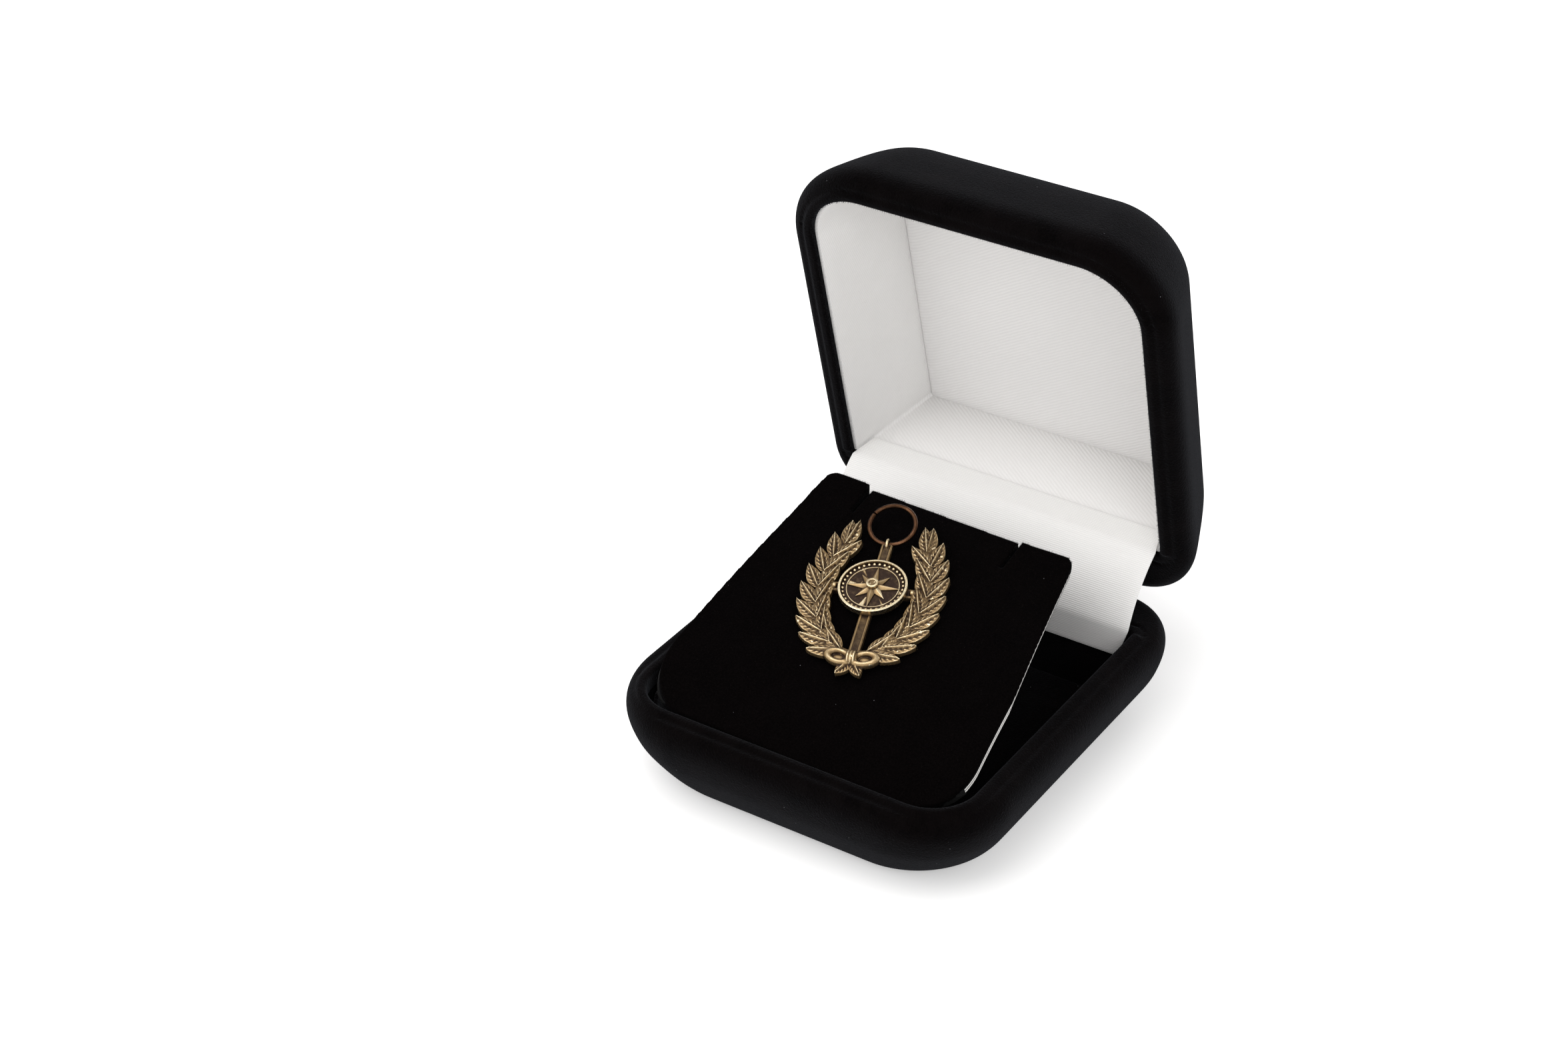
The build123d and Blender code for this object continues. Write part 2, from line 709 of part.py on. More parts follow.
def clutch_body():
    """Butterfly clutch: flat dish against the card, cap below it and two finger wings."""
    dish_low = card_under - clutch_wing
    body = Pos(0, 0, (dish_low + card_under) / 2) * Cylinder(clutch_radius, clutch_wing)
    cap_low = card_under - clutch_height
    body += Pos(0, 0, (cap_low + card_under) / 2) * Cylinder(clutch_cap_radius, clutch_height)
    for side in (-1, 1):
        reach = side * clutch_wing_reach
        body += box(min(0, reach), max(0, reach), -clutch_wing_width / 2, clutch_wing_width / 2,
                    cap_low, cap_low + clutch_wing)
    return body - Cylinder(post_radius + clutch_bore_gap, 4 * overrun)


save("clutch_body", on_pin(clutch_body()))


def wire_ring():
    """Wire ring through the eye, leaning back over the slope."""
    ring = Rot(ring_tilt, 0, 0) * Pos(0, ring_radius, 0) * Torus(ring_radius, ring_wire)
    return Pos(0, eye_y, eye_bore_z) * ring


save("wire_ring", on_pin(wire_ring()))
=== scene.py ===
"""Looks of a velvet presentation box with a cast wreath pin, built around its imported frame."""

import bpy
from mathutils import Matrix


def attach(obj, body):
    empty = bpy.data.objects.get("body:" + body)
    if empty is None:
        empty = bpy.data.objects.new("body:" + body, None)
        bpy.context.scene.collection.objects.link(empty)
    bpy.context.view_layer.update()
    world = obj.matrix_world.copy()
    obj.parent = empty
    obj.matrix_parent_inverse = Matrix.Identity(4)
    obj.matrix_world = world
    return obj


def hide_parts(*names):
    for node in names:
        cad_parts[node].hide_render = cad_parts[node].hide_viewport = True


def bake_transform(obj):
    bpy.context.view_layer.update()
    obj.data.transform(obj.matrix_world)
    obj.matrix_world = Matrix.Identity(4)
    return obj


bl_info = {
    "name": "Velvet Pin Box",
    "version": (1, 0, 0),
    "blender": (4, 5, 0),
    "location": "View3D > Sidebar > Pin Box",
    "description": "Models the velvet, satin, card and cast brass of a presentation box around its frame",
    "category": "Object",
}

import math
import random

import bpy
from bpy.props import FloatProperty, FloatVectorProperty, IntProperty, PointerProperty
from mathutils import Matrix, Vector

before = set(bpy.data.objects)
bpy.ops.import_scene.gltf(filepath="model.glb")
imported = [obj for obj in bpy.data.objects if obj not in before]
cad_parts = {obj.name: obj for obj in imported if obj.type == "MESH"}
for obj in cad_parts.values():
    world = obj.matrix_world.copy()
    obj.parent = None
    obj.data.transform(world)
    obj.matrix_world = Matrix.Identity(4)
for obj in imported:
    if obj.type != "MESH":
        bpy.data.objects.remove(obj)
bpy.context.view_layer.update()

# Where the hinge and the pin lie in the frame, in metres and degrees
HINGE = (0.0, 0.0441, 0.0212)
OPEN_ANGLE = 75.0
OPENING_REAR = 0.032
PIN_ORIGIN = (-0.00399073, -0.00161469, 0.03407993)
PIN_RIGHT = (0.95298, 0.29870, 0.05094)
PIN_TOP = (-0.30165, 0.91930, 0.25278)
PIN_OUT = (0.02867, -0.25626, 0.96619)
PIN_MATRIX = Matrix((
    (PIN_RIGHT[0], PIN_TOP[0], PIN_OUT[0], PIN_ORIGIN[0]),
    (PIN_RIGHT[1], PIN_TOP[1], PIN_OUT[1], PIN_ORIGIN[1]),
    (PIN_RIGHT[2], PIN_TOP[2], PIN_OUT[2], PIN_ORIGIN[2]),
    (0, 0, 0, 1),
))
# Face of the insert's slope: y and z at its front and rear, its arch and its tilt; and where its right edge runs
SLOPE_FRONT, SLOPE_REAR = (-0.0394, 0.0201), (0.0235, 0.0388)
SLOPE_ARCH, SLOPE_TILT = 0.0024, math.radians(1.7)
CARD_EDGE_FRONT, CARD_EDGE_START, CARD_EDGE_SLOPE = 0.0330, 0.0305, 0.19375


class VelvetSizes(bpy.types.PropertyGroup):
    pile: FloatVectorProperty(name="Pile", description="Colour of the velvet", subtype="COLOR",
                              default=(0.0012, 0.0009, 0.0009), min=0, max=1)
    lint: FloatVectorProperty(name="Lint", description="Colour of the specks of lint on it", subtype="COLOR",
                              default=(0.16, 0.16, 0.17), min=0, max=1)
    sheen: FloatProperty(name="Sheen", description="How bright the nap turns at a grazing look", default=0.062,
                         min=0, max=1)
    nap: FloatProperty(name="Nap", description="Depth of the unevenness of the pile", default=0.00022,
                       subtype="DISTANCE", unit="LENGTH", precision=5)
    grain: FloatProperty(name="Grain", description="Mesh size that the covers are softened at", default=0.00042,
                         subtype="DISTANCE", unit="LENGTH", precision=5)


class SatinSizes(bpy.types.PropertyGroup):
    cloth: FloatVectorProperty(name="Cloth", description="Colour of the satin", subtype="COLOR",
                               default=(0.86, 0.85, 0.84), min=0, max=1)
    rib_pitch: FloatProperty(name="Rib pitch", description="Distance between the ribs of the twill",
                             default=0.00066, subtype="DISTANCE", unit="LENGTH", precision=5)
    rib_angle: FloatProperty(name="Rib angle", description="Slope of the twill across the lid's panel",
                             default=math.radians(33), subtype="ANGLE", unit="ROTATION")
    ribbon_pitch: FloatProperty(name="Ribbon pitch", description="Distance between the ribbon's cross ribs",
                                default=0.00040, subtype="DISTANCE", unit="LENGTH", precision=5)
    puff: FloatProperty(name="Puff", description="How far the pad may swell", default=0.0006,
                        subtype="DISTANCE", unit="LENGTH", precision=5)


class PinSizes(bpy.types.PropertyGroup):
    leaf_length: FloatProperty(name="Leaf length", description="Length of a laurel leaf", default=0.0068,
                               subtype="DISTANCE", unit="LENGTH", precision=5)
    leaf_width: FloatProperty(name="Leaf width", description="Width of a laurel leaf", default=0.0030,
                              subtype="DISTANCE", unit="LENGTH", precision=5)
    leaf_pairs: IntProperty(name="Leaf pairs", description="Pairs of leaves on one branch", default=9, min=3)
    half_width: FloatProperty(name="Half width", description="From the middle to the wreath's stem",
                              default=0.0108, subtype="DISTANCE", unit="LENGTH", precision=5)
    half_height: FloatProperty(name="Half height", description="From the middle to the stem's foot",
                               default=0.0166, subtype="DISTANCE", unit="LENGTH", precision=5)
    # Ridge and recess brass: worn brass and patina, the ridge lightened further as a painted highlight and the recess
    # darkened further as painted shade.
    ridge: FloatVectorProperty(name="Ridge brass", description="Colour where the brass is worn bright",
                               subtype="COLOR", default=(0.97, 0.83, 0.56), min=0, max=1)
    body: FloatVectorProperty(name="Body brass", description="Colour between ridge and recess",
                              subtype="COLOR", default=(0.42, 0.29, 0.145), min=0, max=1)
    recess: FloatVectorProperty(name="Recess brass", description="Colour in the recesses", subtype="COLOR",
                                default=(0.036, 0.021, 0.015), min=0, max=1)
    wire: FloatVectorProperty(name="Ring wire", description="Colour of the ring", subtype="COLOR",
                              default=(0.13, 0.064, 0.034), min=0, max=1)
    cast_grain: FloatProperty(name="Cast grain", description="Mesh size that the casting is fused at",
                              default=0.00011, subtype="DISTANCE", unit="LENGTH", precision=5)


class StageSizes(bpy.types.PropertyGroup):
    camera_place: FloatVectorProperty(name="Camera", description="Where the camera stands", subtype="XYZ",
                                      unit="LENGTH", default=(0.25088, -0.42063, 0.36284), precision=5)
    azimuth: FloatProperty(name="Azimuth", description="Camera's turn about the box, from its front",
                           default=math.radians(33.338), subtype="ANGLE", unit="ROTATION")
    elevation: FloatProperty(name="Elevation", description="Camera's angle above the floor",
                             default=math.radians(32.503), subtype="ANGLE", unit="ROTATION")
    roll: FloatProperty(name="Roll", description="Camera's turn about its own line of sight",
                        default=math.radians(-0.2706), subtype="ANGLE", unit="ROTATION")
    lens: FloatProperty(name="Lens", description="Focal length on a 36 mm sensor", default=69.86)
    floor: FloatVectorProperty(name="Floor", description="Colour of the floor", subtype="COLOR",
                               default=(0.88, 0.88, 0.88), min=0, max=1)


def settings():
    """The add-on's sizes and colours, as the scene holds them."""
    return bpy.context.scene.pin_box


# ---- Selecting and applying, as by hand


def only(obj):
    """Select one object alone and make it the active one."""
    if bpy.context.mode != "OBJECT":
        bpy.ops.object.mode_set(mode="OBJECT")
    bpy.ops.object.select_all(action="DESELECT")
    obj.select_set(True)
    bpy.context.view_layer.objects.active = obj
    return obj


def edit(obj, kind="VERT", picked=None):
    """Open an object in edit mode with some of its vertices or faces selected; all of them without a test."""
    only(obj)
    mesh = obj.data
    for part in (mesh.vertices, mesh.edges, mesh.polygons):
        part.foreach_set("select", [picked is None] * len(part))
    if picked is not None:
        for item in mesh.polygons if kind == "FACE" else mesh.vertices:
            item.select = bool(picked(item))
    bpy.ops.object.mode_set(mode="EDIT")
    bpy.ops.mesh.select_mode(type=kind)
    return obj


def done(obj):
    """Leave edit mode."""
    bpy.ops.object.mode_set(mode="OBJECT")
    return obj


def modified(obj, kind, **values):
    """Add a modifier, set it and apply it."""
    only(obj)
    modifier = obj.modifiers.new(kind.title(), kind)
    for name, value in values.items():
        setattr(modifier, name, value)
    bpy.ops.object.modifier_apply(modifier=modifier.name)
    return obj


def named(obj, name):
    """Give an object and its mesh one name."""
    obj.name = name
    obj.data.name = name
    return obj


def settled(obj, matrix):
    """Put an object's place into its mesh, so that the object itself sits at the origin."""
    only(obj)
    obj.matrix_world = matrix @ obj.matrix_world
    bpy.ops.object.transform_apply(location=True, rotation=True, scale=True)
    return obj


def joined(objects, name):
    """Join several objects into one."""
    only(objects[0])
    for obj in objects:
        obj.select_set(True)
    bpy.ops.object.join()
    return named(bpy.context.view_layer.objects.active, name)


def copied(obj):
    """A copy of an object with its own mesh."""
    twin = obj.copy()
    twin.data = obj.data.copy()
    bpy.context.scene.collection.objects.link(twin)
    return twin


def node_copy(node, name):
    """A merged copy of a CAD node's mesh, as a new object that rides on nothing yet."""
    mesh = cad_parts[node].data.copy()
    mesh.materials.clear()
    obj = bpy.data.objects.new(name, mesh)
    bpy.context.scene.collection.objects.link(obj)
    edit(obj)
    bpy.ops.mesh.remove_doubles(threshold=0.00001)
    done(obj)
    return named(obj, name)


LID_UP = Vector((0, -math.cos(math.radians(OPEN_ANGLE)), math.sin(math.radians(OPEN_ANGLE))))
LID_IN = Vector((0, math.sin(math.radians(OPEN_ANGLE)), math.cos(math.radians(OPEN_ANGLE))))


LID_SHUT = (Matrix.Translation(HINGE) @ Matrix.Rotation(math.radians(OPEN_ANGLE), 4, "X")
            @ Matrix.Translation(-Vector(HINGE)))


def lid_place(co):
    """How far a point lies up the open lid from the hinge, and how far into it."""
    return (co - Vector(HINGE)).dot(LID_UP), (co - Vector(HINGE)).dot(LID_IN)


def smooth_shaded(obj, angle=None):
    """Smooth shading, or smooth only where faces meet under an angle."""
    only(obj)
    if angle is None:
        bpy.ops.object.shade_smooth()
    else:
        bpy.ops.object.shade_smooth_by_angle(angle=angle)
    return obj


def finished(obj, material, body, node):
    """Material, body and material slot of a piece, and the CAD node that it stands for."""
    obj.data.materials.clear()
    obj.data.materials.append(material)
    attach(obj, body)
    if node:
        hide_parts(*([node] if isinstance(node, str) else node))
    return obj


def softened(node, name, grain, passes, share=1.0):
    """A CAD node's form with its edges softened, as cloth over board has them."""
    obj = node_copy(node, name)
    modified(obj, "REMESH", mode="VOXEL", voxel_size=grain, adaptivity=0.0)
    modified(obj, "SMOOTH", factor=0.5, iterations=passes)
    if share < 1.0:
        modified(obj, "DECIMATE", decimate_type="COLLAPSE", ratio=share)
    return smooth_shaded(obj)


# ---- Materials


class Finish:
    """Builds one node material, node by node."""

    def __init__(self, name):
        self.material = bpy.data.materials.new(name)
        self.material.use_nodes = True
        self.tree = self.material.node_tree
        self.tree.nodes.clear()
        self.output = self.node("ShaderNodeOutputMaterial")
        self.place = self.node("ShaderNodeTexCoord").outputs["Object"]

    def node(self, kind, **values):
        made = self.tree.nodes.new(kind)
        for name, value in values.items():
            setattr(made, name, value)
        return made

    def wire(self, source, target):
        self.tree.links.new(source, target)

    def fill(self, node, sockets):
        for name, value in sockets.items():
            socket = node.inputs[name]
            if isinstance(value, bpy.types.NodeSocket):
                self.wire(value, socket)
            else:
                socket.default_value = value
        return node

    def noise(self, scale, detail=2.0, roughness=0.5, place=None):
        made = self.node("ShaderNodeTexNoise")
        self.fill(made, {"Vector": place or self.place, "Scale": scale, "Detail": detail, "Roughness": roughness})
        return made.outputs["Fac"]

    def maths(self, operation, first, second=0.0, third=0.0, clamp=False):
        made = self.node("ShaderNodeMath", operation=operation, use_clamp=clamp)
        self.fill(made, {0: first, 1: second, 2: third})
        return made.outputs[0]

    def along(self, direction, place=None):
        """How far the surface lies along a direction."""
        made = self.node("ShaderNodeVectorMath", operation="DOT_PRODUCT")
        self.fill(made, {0: place or self.place, 1: direction})
        return made.outputs["Value"]

    def ramp(self, value, low, high, low_out=0.0, high_out=1.0):
        made = self.node("ShaderNodeMapRange", clamp=True)
        self.fill(made, {"Value": value, "From Min": low, "From Max": high, "To Min": low_out, "To Max": high_out})
        return made.outputs["Result"]

    def mix(self, share, first, second):
        made = self.node("ShaderNodeMix", data_type="RGBA")
        self.fill(made, {0: share, 6: first, 7: second})
        return made.outputs[2]

    def bump(self, height, distance, strength=1.0, normal=None):
        made = self.node("ShaderNodeBump")
        self.fill(made, {"Height": height, "Distance": distance, "Strength": strength})
        if normal is not None:
            self.wire(normal, made.inputs["Normal"])
        return made.outputs["Normal"]

    def surface(self, **sockets):
        shader = self.node("ShaderNodeBsdfPrincipled")
        self.fill(shader, {name.replace("_", " "): value for name, value in sockets.items()})
        self.wire(shader.outputs["BSDF"], self.output.inputs["Surface"])
        return self.material


def opaque(colour):
    return (*colour[:3], 1.0)


def velvet_finish(name, worn=1.0, sheen_share=1.0):
    """Short black pile: uneven nap, a faint sheen where it turns away, broad patches of painted sheen that lighten
    its colour, and a few specks of lint.
    """
    sizes = settings().velvet
    f = Finish(name)
    nap = f.noise(2600, 3.0, 0.65)
    painted_sheen_mottle = f.noise(140, 4.0, 0.65)
    specks = f.node("ShaderNodeTexVoronoi", feature="F1")
    f.fill(specks, {"Vector": f.place, "Scale": 640.0, "Randomness": 1.0})
    near = f.maths("LESS_THAN", specks.outputs["Distance"], 0.05)
    split = f.node("ShaderNodeSeparateColor")
    f.wire(specks.outputs["Color"], split.inputs[0])
    chosen = f.maths("GREATER_THAN", split.outputs[0], 1.0 - 0.05 * worn)
    lint = f.maths("MULTIPLY", near, chosen)
    pile = opaque(sizes.pile)
    # Painted sheen: broad patches of the pile lightened up to 2.6 times its colour, standing in for the sheen's
    # shifting brightness across the nap.
    colour = f.mix(f.ramp(painted_sheen_mottle, 0.35, 0.7), pile, opaque(tuple((1 + 1.6 * sheen_share) * c for c in sizes.pile)))
    colour = f.mix(f.ramp(nap, 0.4, 0.75, 0.0, 0.6), colour, opaque(tuple(3.0 * c for c in sizes.pile)))
    colour = f.mix(lint, colour, opaque(sizes.lint))
    normal = f.bump(nap, sizes.nap, 0.9)
    return f.surface(Base_Color=colour, Roughness=0.95, Specular_IOR_Level=0.0, Sheen_Weight=sizes.sheen * sheen_share,
                     Sheen_Roughness=0.42, Sheen_Tint=(0.86, 0.9, 1.0, 1.0), Normal=normal)


def satin_finish(name):
    """White satin with a fine slanting twill, as it lies in the open lid."""
    sizes = settings().satin
    f = Finish(name)
    closed = f.node("ShaderNodeMapping")
    f.fill(closed, {"Vector": f.place, "Rotation": (math.radians(OPEN_ANGLE), 0, 0)})
    across = (math.sin(sizes.rib_angle), math.cos(sizes.rib_angle), 0.8)
    wander = f.noise(700, 2.0)
    phase = f.maths("MULTIPLY", f.along(across, closed.outputs[0]), 2 * math.pi / sizes.rib_pitch)
    phase = f.maths("ADD", phase, f.maths("MULTIPLY", wander, 2.6))
    rib = f.maths("SINE", phase)
    rib = f.ramp(rib, -1.0, 1.0)
    cloth = opaque(sizes.cloth)
    dim = opaque(tuple(0.93 * c for c in sizes.cloth))
    colour = f.mix(rib, dim, cloth)
    colour = f.mix(f.ramp(f.noise(60, 3.0), 0.3, 0.75, 0.0, 0.35), colour, dim)
    normal = f.bump(rib, 0.00005, 0.7)
    normal = f.bump(f.noise(110, 4.0), 0.00035, 0.35, normal)
    return f.surface(Base_Color=colour, Roughness=0.5, Specular_IOR_Level=0.35, Sheen_Weight=0.2,
                     Sheen_Roughness=0.4, Normal=normal)


def ribbon_finish(name):
    """White ribbon with cross ribs that follow its length."""
    sizes = settings().satin
    f = Finish(name)
    uv = f.node("ShaderNodeUVMap", uv_map="UVMap").outputs["UV"]
    length = f.node("ShaderNodeSeparateXYZ")
    f.wire(uv, length.inputs[0])
    wander = f.noise(500, 2.0)
    phase = f.maths("MULTIPLY", length.outputs["Y"], 2 * math.pi / sizes.ribbon_pitch)
    phase = f.maths("ADD", phase, f.maths("MULTIPLY", wander, 2.0))
    rib = f.ramp(f.maths("SINE", phase), -1.0, 1.0)
    cloth = opaque(sizes.cloth)
    dim = opaque(tuple(0.9 * c for c in sizes.cloth))
    colour = f.mix(rib, dim, cloth)
    normal = f.bump(rib, 0.00005, 0.8)
    normal = f.bump(f.noise(80, 3.0), 0.0004, 0.3, normal)
    return f.surface(Base_Color=colour, Roughness=0.45, Specular_IOR_Level=0.4, Sheen_Weight=0.2,
                     Sheen_Roughness=0.4, Normal=normal)


def board_finish(name, tone, speckle=0.06):
    """Cut paper board with its fibres."""
    f = Finish(name)
    fibre = f.noise(900, 4.0, 0.7)
    dim = opaque(tuple((1 - speckle) * c for c in tone))
    colour = f.mix(fibre, dim, opaque(tone))
    normal = f.bump(fibre, 0.00008, 0.6)
    return f.surface(Base_Color=colour, Roughness=0.85, Specular_IOR_Level=0.2, Normal=normal)


def card_edge_finish(name):
    """Cut card: white at the right edge with a dark line between its plies, flocked black elsewhere."""
    f = Finish(name)
    axes = f.node("ShaderNodeSeparateXYZ")
    f.wire(f.place, axes.inputs[0])
    x, y, z = axes.outputs
    run, rise = SLOPE_REAR[0] - SLOPE_FRONT[0], SLOPE_REAR[1] - SLOPE_FRONT[1]
    share = f.maths("DIVIDE", f.maths("SUBTRACT", y, SLOPE_FRONT[0]), run)
    arch = f.maths("MULTIPLY", f.maths("MULTIPLY", share, f.maths("SUBTRACT", 1.0, share)), 4 * SLOPE_ARCH)
    face = f.maths("ADD", f.maths("ADD", f.maths("MULTIPLY", share, rise), SLOPE_FRONT[1]), arch)
    level = f.maths("ADD", f.maths("MULTIPLY", z, math.cos(SLOPE_TILT)), f.maths("MULTIPLY", x, math.sin(SLOPE_TILT)))
    under = f.maths("SUBTRACT", face, level)
    ply = f.maths("ABSOLUTE", f.maths("SUBTRACT", under, 0.0012))
    line = f.ramp(ply, 0.00004, 0.0001)
    fibre = f.noise(900, 4.0, 0.7)
    white = f.mix(fibre, (0.66, 0.65, 0.63, 1), (0.80, 0.79, 0.77, 1))
    white = f.mix(line, (0.10, 0.09, 0.085, 1), white)
    edge = f.maths("MINIMUM", CARD_EDGE_FRONT, f.maths("SUBTRACT", CARD_EDGE_START,
                                                       f.maths("MULTIPLY", y, CARD_EDGE_SLOPE)))
    bare = f.maths("GREATER_THAN", x, f.maths("SUBTRACT", edge, 0.0006))
    on_slope = f.maths("MULTIPLY", f.maths("COMPARE", under, 0.0012, 0.0003), f.maths("GREATER_THAN", y, -0.0315))
    colour = f.mix(f.maths("MULTIPLY", bare, on_slope), (0.004, 0.004, 0.004, 1), white)
    return f.surface(Base_Color=colour, Roughness=0.9, Specular_IOR_Level=0.15, Normal=f.bump(fibre, 0.00008, 0.6))


def moulding_finish(name):
    """Plain black moulded shell, hidden under the velvet."""
    f = Finish(name)
    grain = f.noise(1500, 2.0)
    colour = f.mix(grain, (0.02, 0.02, 0.02, 1), (0.035, 0.035, 0.035, 1))
    return f.surface(Base_Color=colour, Roughness=0.6, Normal=f.bump(grain, 0.00003, 0.4))


def steel_finish(name):
    """Bright drawn spring steel."""
    f = Finish(name)
    drawn = f.node("ShaderNodeMapping")
    f.fill(drawn, {"Vector": f.place, "Scale": (40.0, 1800.0, 1800.0)})
    lines = f.noise(1.0, 3.0, 0.6, drawn.outputs[0])
    colour = f.mix(lines, (0.42, 0.42, 0.43, 1), (0.62, 0.62, 0.63, 1))
    rough = f.ramp(lines, 0.2, 0.8, 0.22, 0.4)
    return f.surface(Base_Color=colour, Metallic=1.0, Roughness=rough, Normal=f.bump(lines, 0.00001, 0.4))


def antique_finish(name, floor_height, ridge_height):
    """Antique brass: dark patina in the recesses, deepened with painted shade from occlusion; worn bright on the
    ridges and edges, lightened further as a painted highlight; stippled in between.
    """
    sizes = settings().pin
    f = Finish(name)
    height = f.maths("SUBTRACT", f.along(PIN_OUT), Vector(PIN_ORIGIN).dot(Vector(PIN_OUT)))
    raised = f.ramp(height, floor_height, ridge_height)
    shape = f.node("ShaderNodeNewGeometry")
    edge = f.ramp(shape.outputs["Pointiness"], 0.49, 0.57)
    # Painted shade: occlusion darkens the colour in crevices between leaves, on top of the patina that lies there.
    cavity = f.node("ShaderNodeAmbientOcclusion", samples=6)
    f.fill(cavity, {"Distance": 0.0009})
    open_share = f.ramp(cavity.outputs["AO"], 0.45, 0.95)
    stain = f.noise(900, 4.0, 0.65)
    worn = f.maths("MULTIPLY", open_share, f.maths("ADD", f.maths("MULTIPLY", edge, 0.85),
                                                   f.maths("MULTIPLY", raised, 0.28)))
    worn = f.maths("ADD", worn, f.maths("MULTIPLY", f.maths("SUBTRACT", stain, 0.5), 0.35), clamp=True)
    # The worn share runs the colour from recess through body to ridge: partly real wear and patina, partly painted
    # highlight on ridges and edges and painted shade in crevices.
    colour = f.mix(f.ramp(worn, 0.05, 0.5), opaque(sizes.recess), opaque(sizes.body))
    colour = f.mix(f.ramp(worn, 0.5, 0.95), colour, opaque(sizes.ridge))
    rough = f.ramp(worn, 0.0, 1.0, 0.55, 0.24)
    metal = f.ramp(worn, 0.0, 0.4, 0.8, 1.0)
    normal = f.bump(f.noise(3800, 3.0, 0.6), 0.00004, 0.6)
    return f.surface(Base_Color=colour, Metallic=metal, Roughness=rough, Normal=normal)


def wire_finish(name):
    """Browned copper-coloured wire, drawn along its length."""
    sizes = settings().pin
    f = Finish(name)
    stain = f.noise(420, 4.0, 0.6)
    colour = f.mix(f.ramp(stain, 0.35, 0.7), opaque(tuple(0.35 * c for c in sizes.wire)), opaque(sizes.wire))
    rough = f.ramp(stain, 0.3, 0.7, 0.42, 0.25)
    return f.surface(Base_Color=colour, Metallic=1.0, Roughness=rough,
                     Normal=f.bump(f.noise(2500, 2.0), 0.00002, 0.4))


def pressed_brass_finish(name):
    """Bright pressed brass of the clutch."""
    f = Finish(name)
    stain = f.noise(260, 4.0, 0.6)
    colour = f.mix(stain, (0.55, 0.38, 0.15, 1), (0.78, 0.60, 0.29, 1))
    return f.surface(Base_Color=colour, Metallic=1.0, Roughness=f.ramp(stain, 0.2, 0.8, 0.2, 0.38),
                     Normal=f.bump(f.noise(1900, 2.0), 0.00001, 0.4))


def material(name, build, *values):
    """One material of each name for the whole scene."""
    return bpy.data.materials.get(name) or build(name, *values)


# ---- Pieces


class PINBOX_OT_stage(bpy.types.Operator):
    """Add the camera, the pale floor and the soft studio light"""
    bl_idname = "pinbox.stage"
    bl_label = "Stage"

    def execute(self, context):
        sizes = settings().stage
        bpy.ops.object.camera_add()
        camera = context.object
        camera.name = "photo_camera"
        turn = (Matrix.Rotation(sizes.azimuth, 4, "Z") @ Matrix.Rotation(math.pi / 2 - sizes.elevation, 4, "X")
                @ Matrix.Rotation(sizes.roll, 4, "Z"))
        camera.matrix_world = Matrix.Translation(Vector(sizes.camera_place)) @ turn
        camera.data.lens = sizes.lens
        camera.data.sensor_width = 36.0
        camera.data.sensor_fit = "HORIZONTAL"
        camera.data.clip_start = 0.01
        camera.data.clip_end = 20.0
        context.scene.camera = camera

        bpy.ops.mesh.primitive_plane_add(size=8.0, location=(0, 0, 0))
        floor = named(context.object, "floor")
        edit(floor)
        bpy.ops.mesh.subdivide(number_cuts=4)
        done(floor)
        f = Finish("floor_paper")
        tone = f.mix(f.noise(3.0, 2.0), opaque(tuple(0.995 * c for c in sizes.floor)), opaque(sizes.floor))
        paper = f.node("ShaderNodeBsdfDiffuse")
        f.wire(tone, paper.inputs["Color"])
        glow = f.node("ShaderNodeEmission")
        f.fill(glow, {"Color": (1, 1, 1, 1), "Strength": 0.34})
        seen = f.node("ShaderNodeLightPath")
        rays = f.maths("MAXIMUM", seen.outputs["Is Camera Ray"], seen.outputs["Is Glossy Ray"])
        rays = f.maths("MAXIMUM", rays, seen.outputs["Is Transmission Ray"])
        lit = f.node("ShaderNodeAddShader")
        f.wire(paper.outputs[0], lit.inputs[0])
        f.wire(glow.outputs[0], lit.inputs[1])
        blend = f.node("ShaderNodeMixShader")
        f.wire(rays, blend.inputs[0])
        f.wire(paper.outputs[0], blend.inputs[1])
        f.wire(lit.outputs[0], blend.inputs[2])
        f.wire(blend.outputs[0], f.output.inputs["Surface"])
        floor.data.materials.append(f.material)

        world = bpy.data.worlds.new("studio")
        context.scene.world = world
        world.use_nodes = True
        tree = world.node_tree
        tree.nodes.clear()
        out = tree.nodes.new("ShaderNodeOutputWorld")
        mixer = tree.nodes.new("ShaderNodeMixShader")
        dome = tree.nodes.new("ShaderNodeBackground")
        dome.inputs["Color"].default_value = (1.0, 0.99, 0.985, 1)
        dome.inputs["Strength"].default_value = 0.75
        white = tree.nodes.new("ShaderNodeBackground")
        white.inputs["Color"].default_value = (1, 1, 1, 1)
        white.inputs["Strength"].default_value = 1.0
        path = tree.nodes.new("ShaderNodeLightPath")
        tree.links.new(path.outputs["Is Camera Ray"], mixer.inputs[0])
        tree.links.new(dome.outputs[0], mixer.inputs[1])
        tree.links.new(white.outputs[0], mixer.inputs[2])
        tree.links.new(mixer.outputs[0], out.inputs["Surface"])

        for name, place, size, power, tint in (
            ("softbox_above", (-0.15, -0.25, 0.95), 0.9, 4.6, (1.0, 0.99, 0.98)),
            ("softbox_left", (-0.45, -0.70, 0.50), 0.5, 1.5, (1.0, 0.99, 0.98)),
            ("softbox_right", (0.55, -0.55, 0.55), 0.35, 1.6, (1.0, 1.0, 1.0)),
        ):
            bpy.ops.object.light_add(type="AREA", location=place)
            lamp = context.object
            lamp.name = name
            lamp.data.shape = "SQUARE"
            lamp.data.size = size
            lamp.data.energy = power
            lamp.data.color = tint
            lamp.rotation_euler = (Vector((0, 0, 0.03)) - Vector(place)).to_track_quat("-Z", "Y").to_euler()
        context.scene.view_settings.view_transform = "Standard"
        return {"FINISHED"}


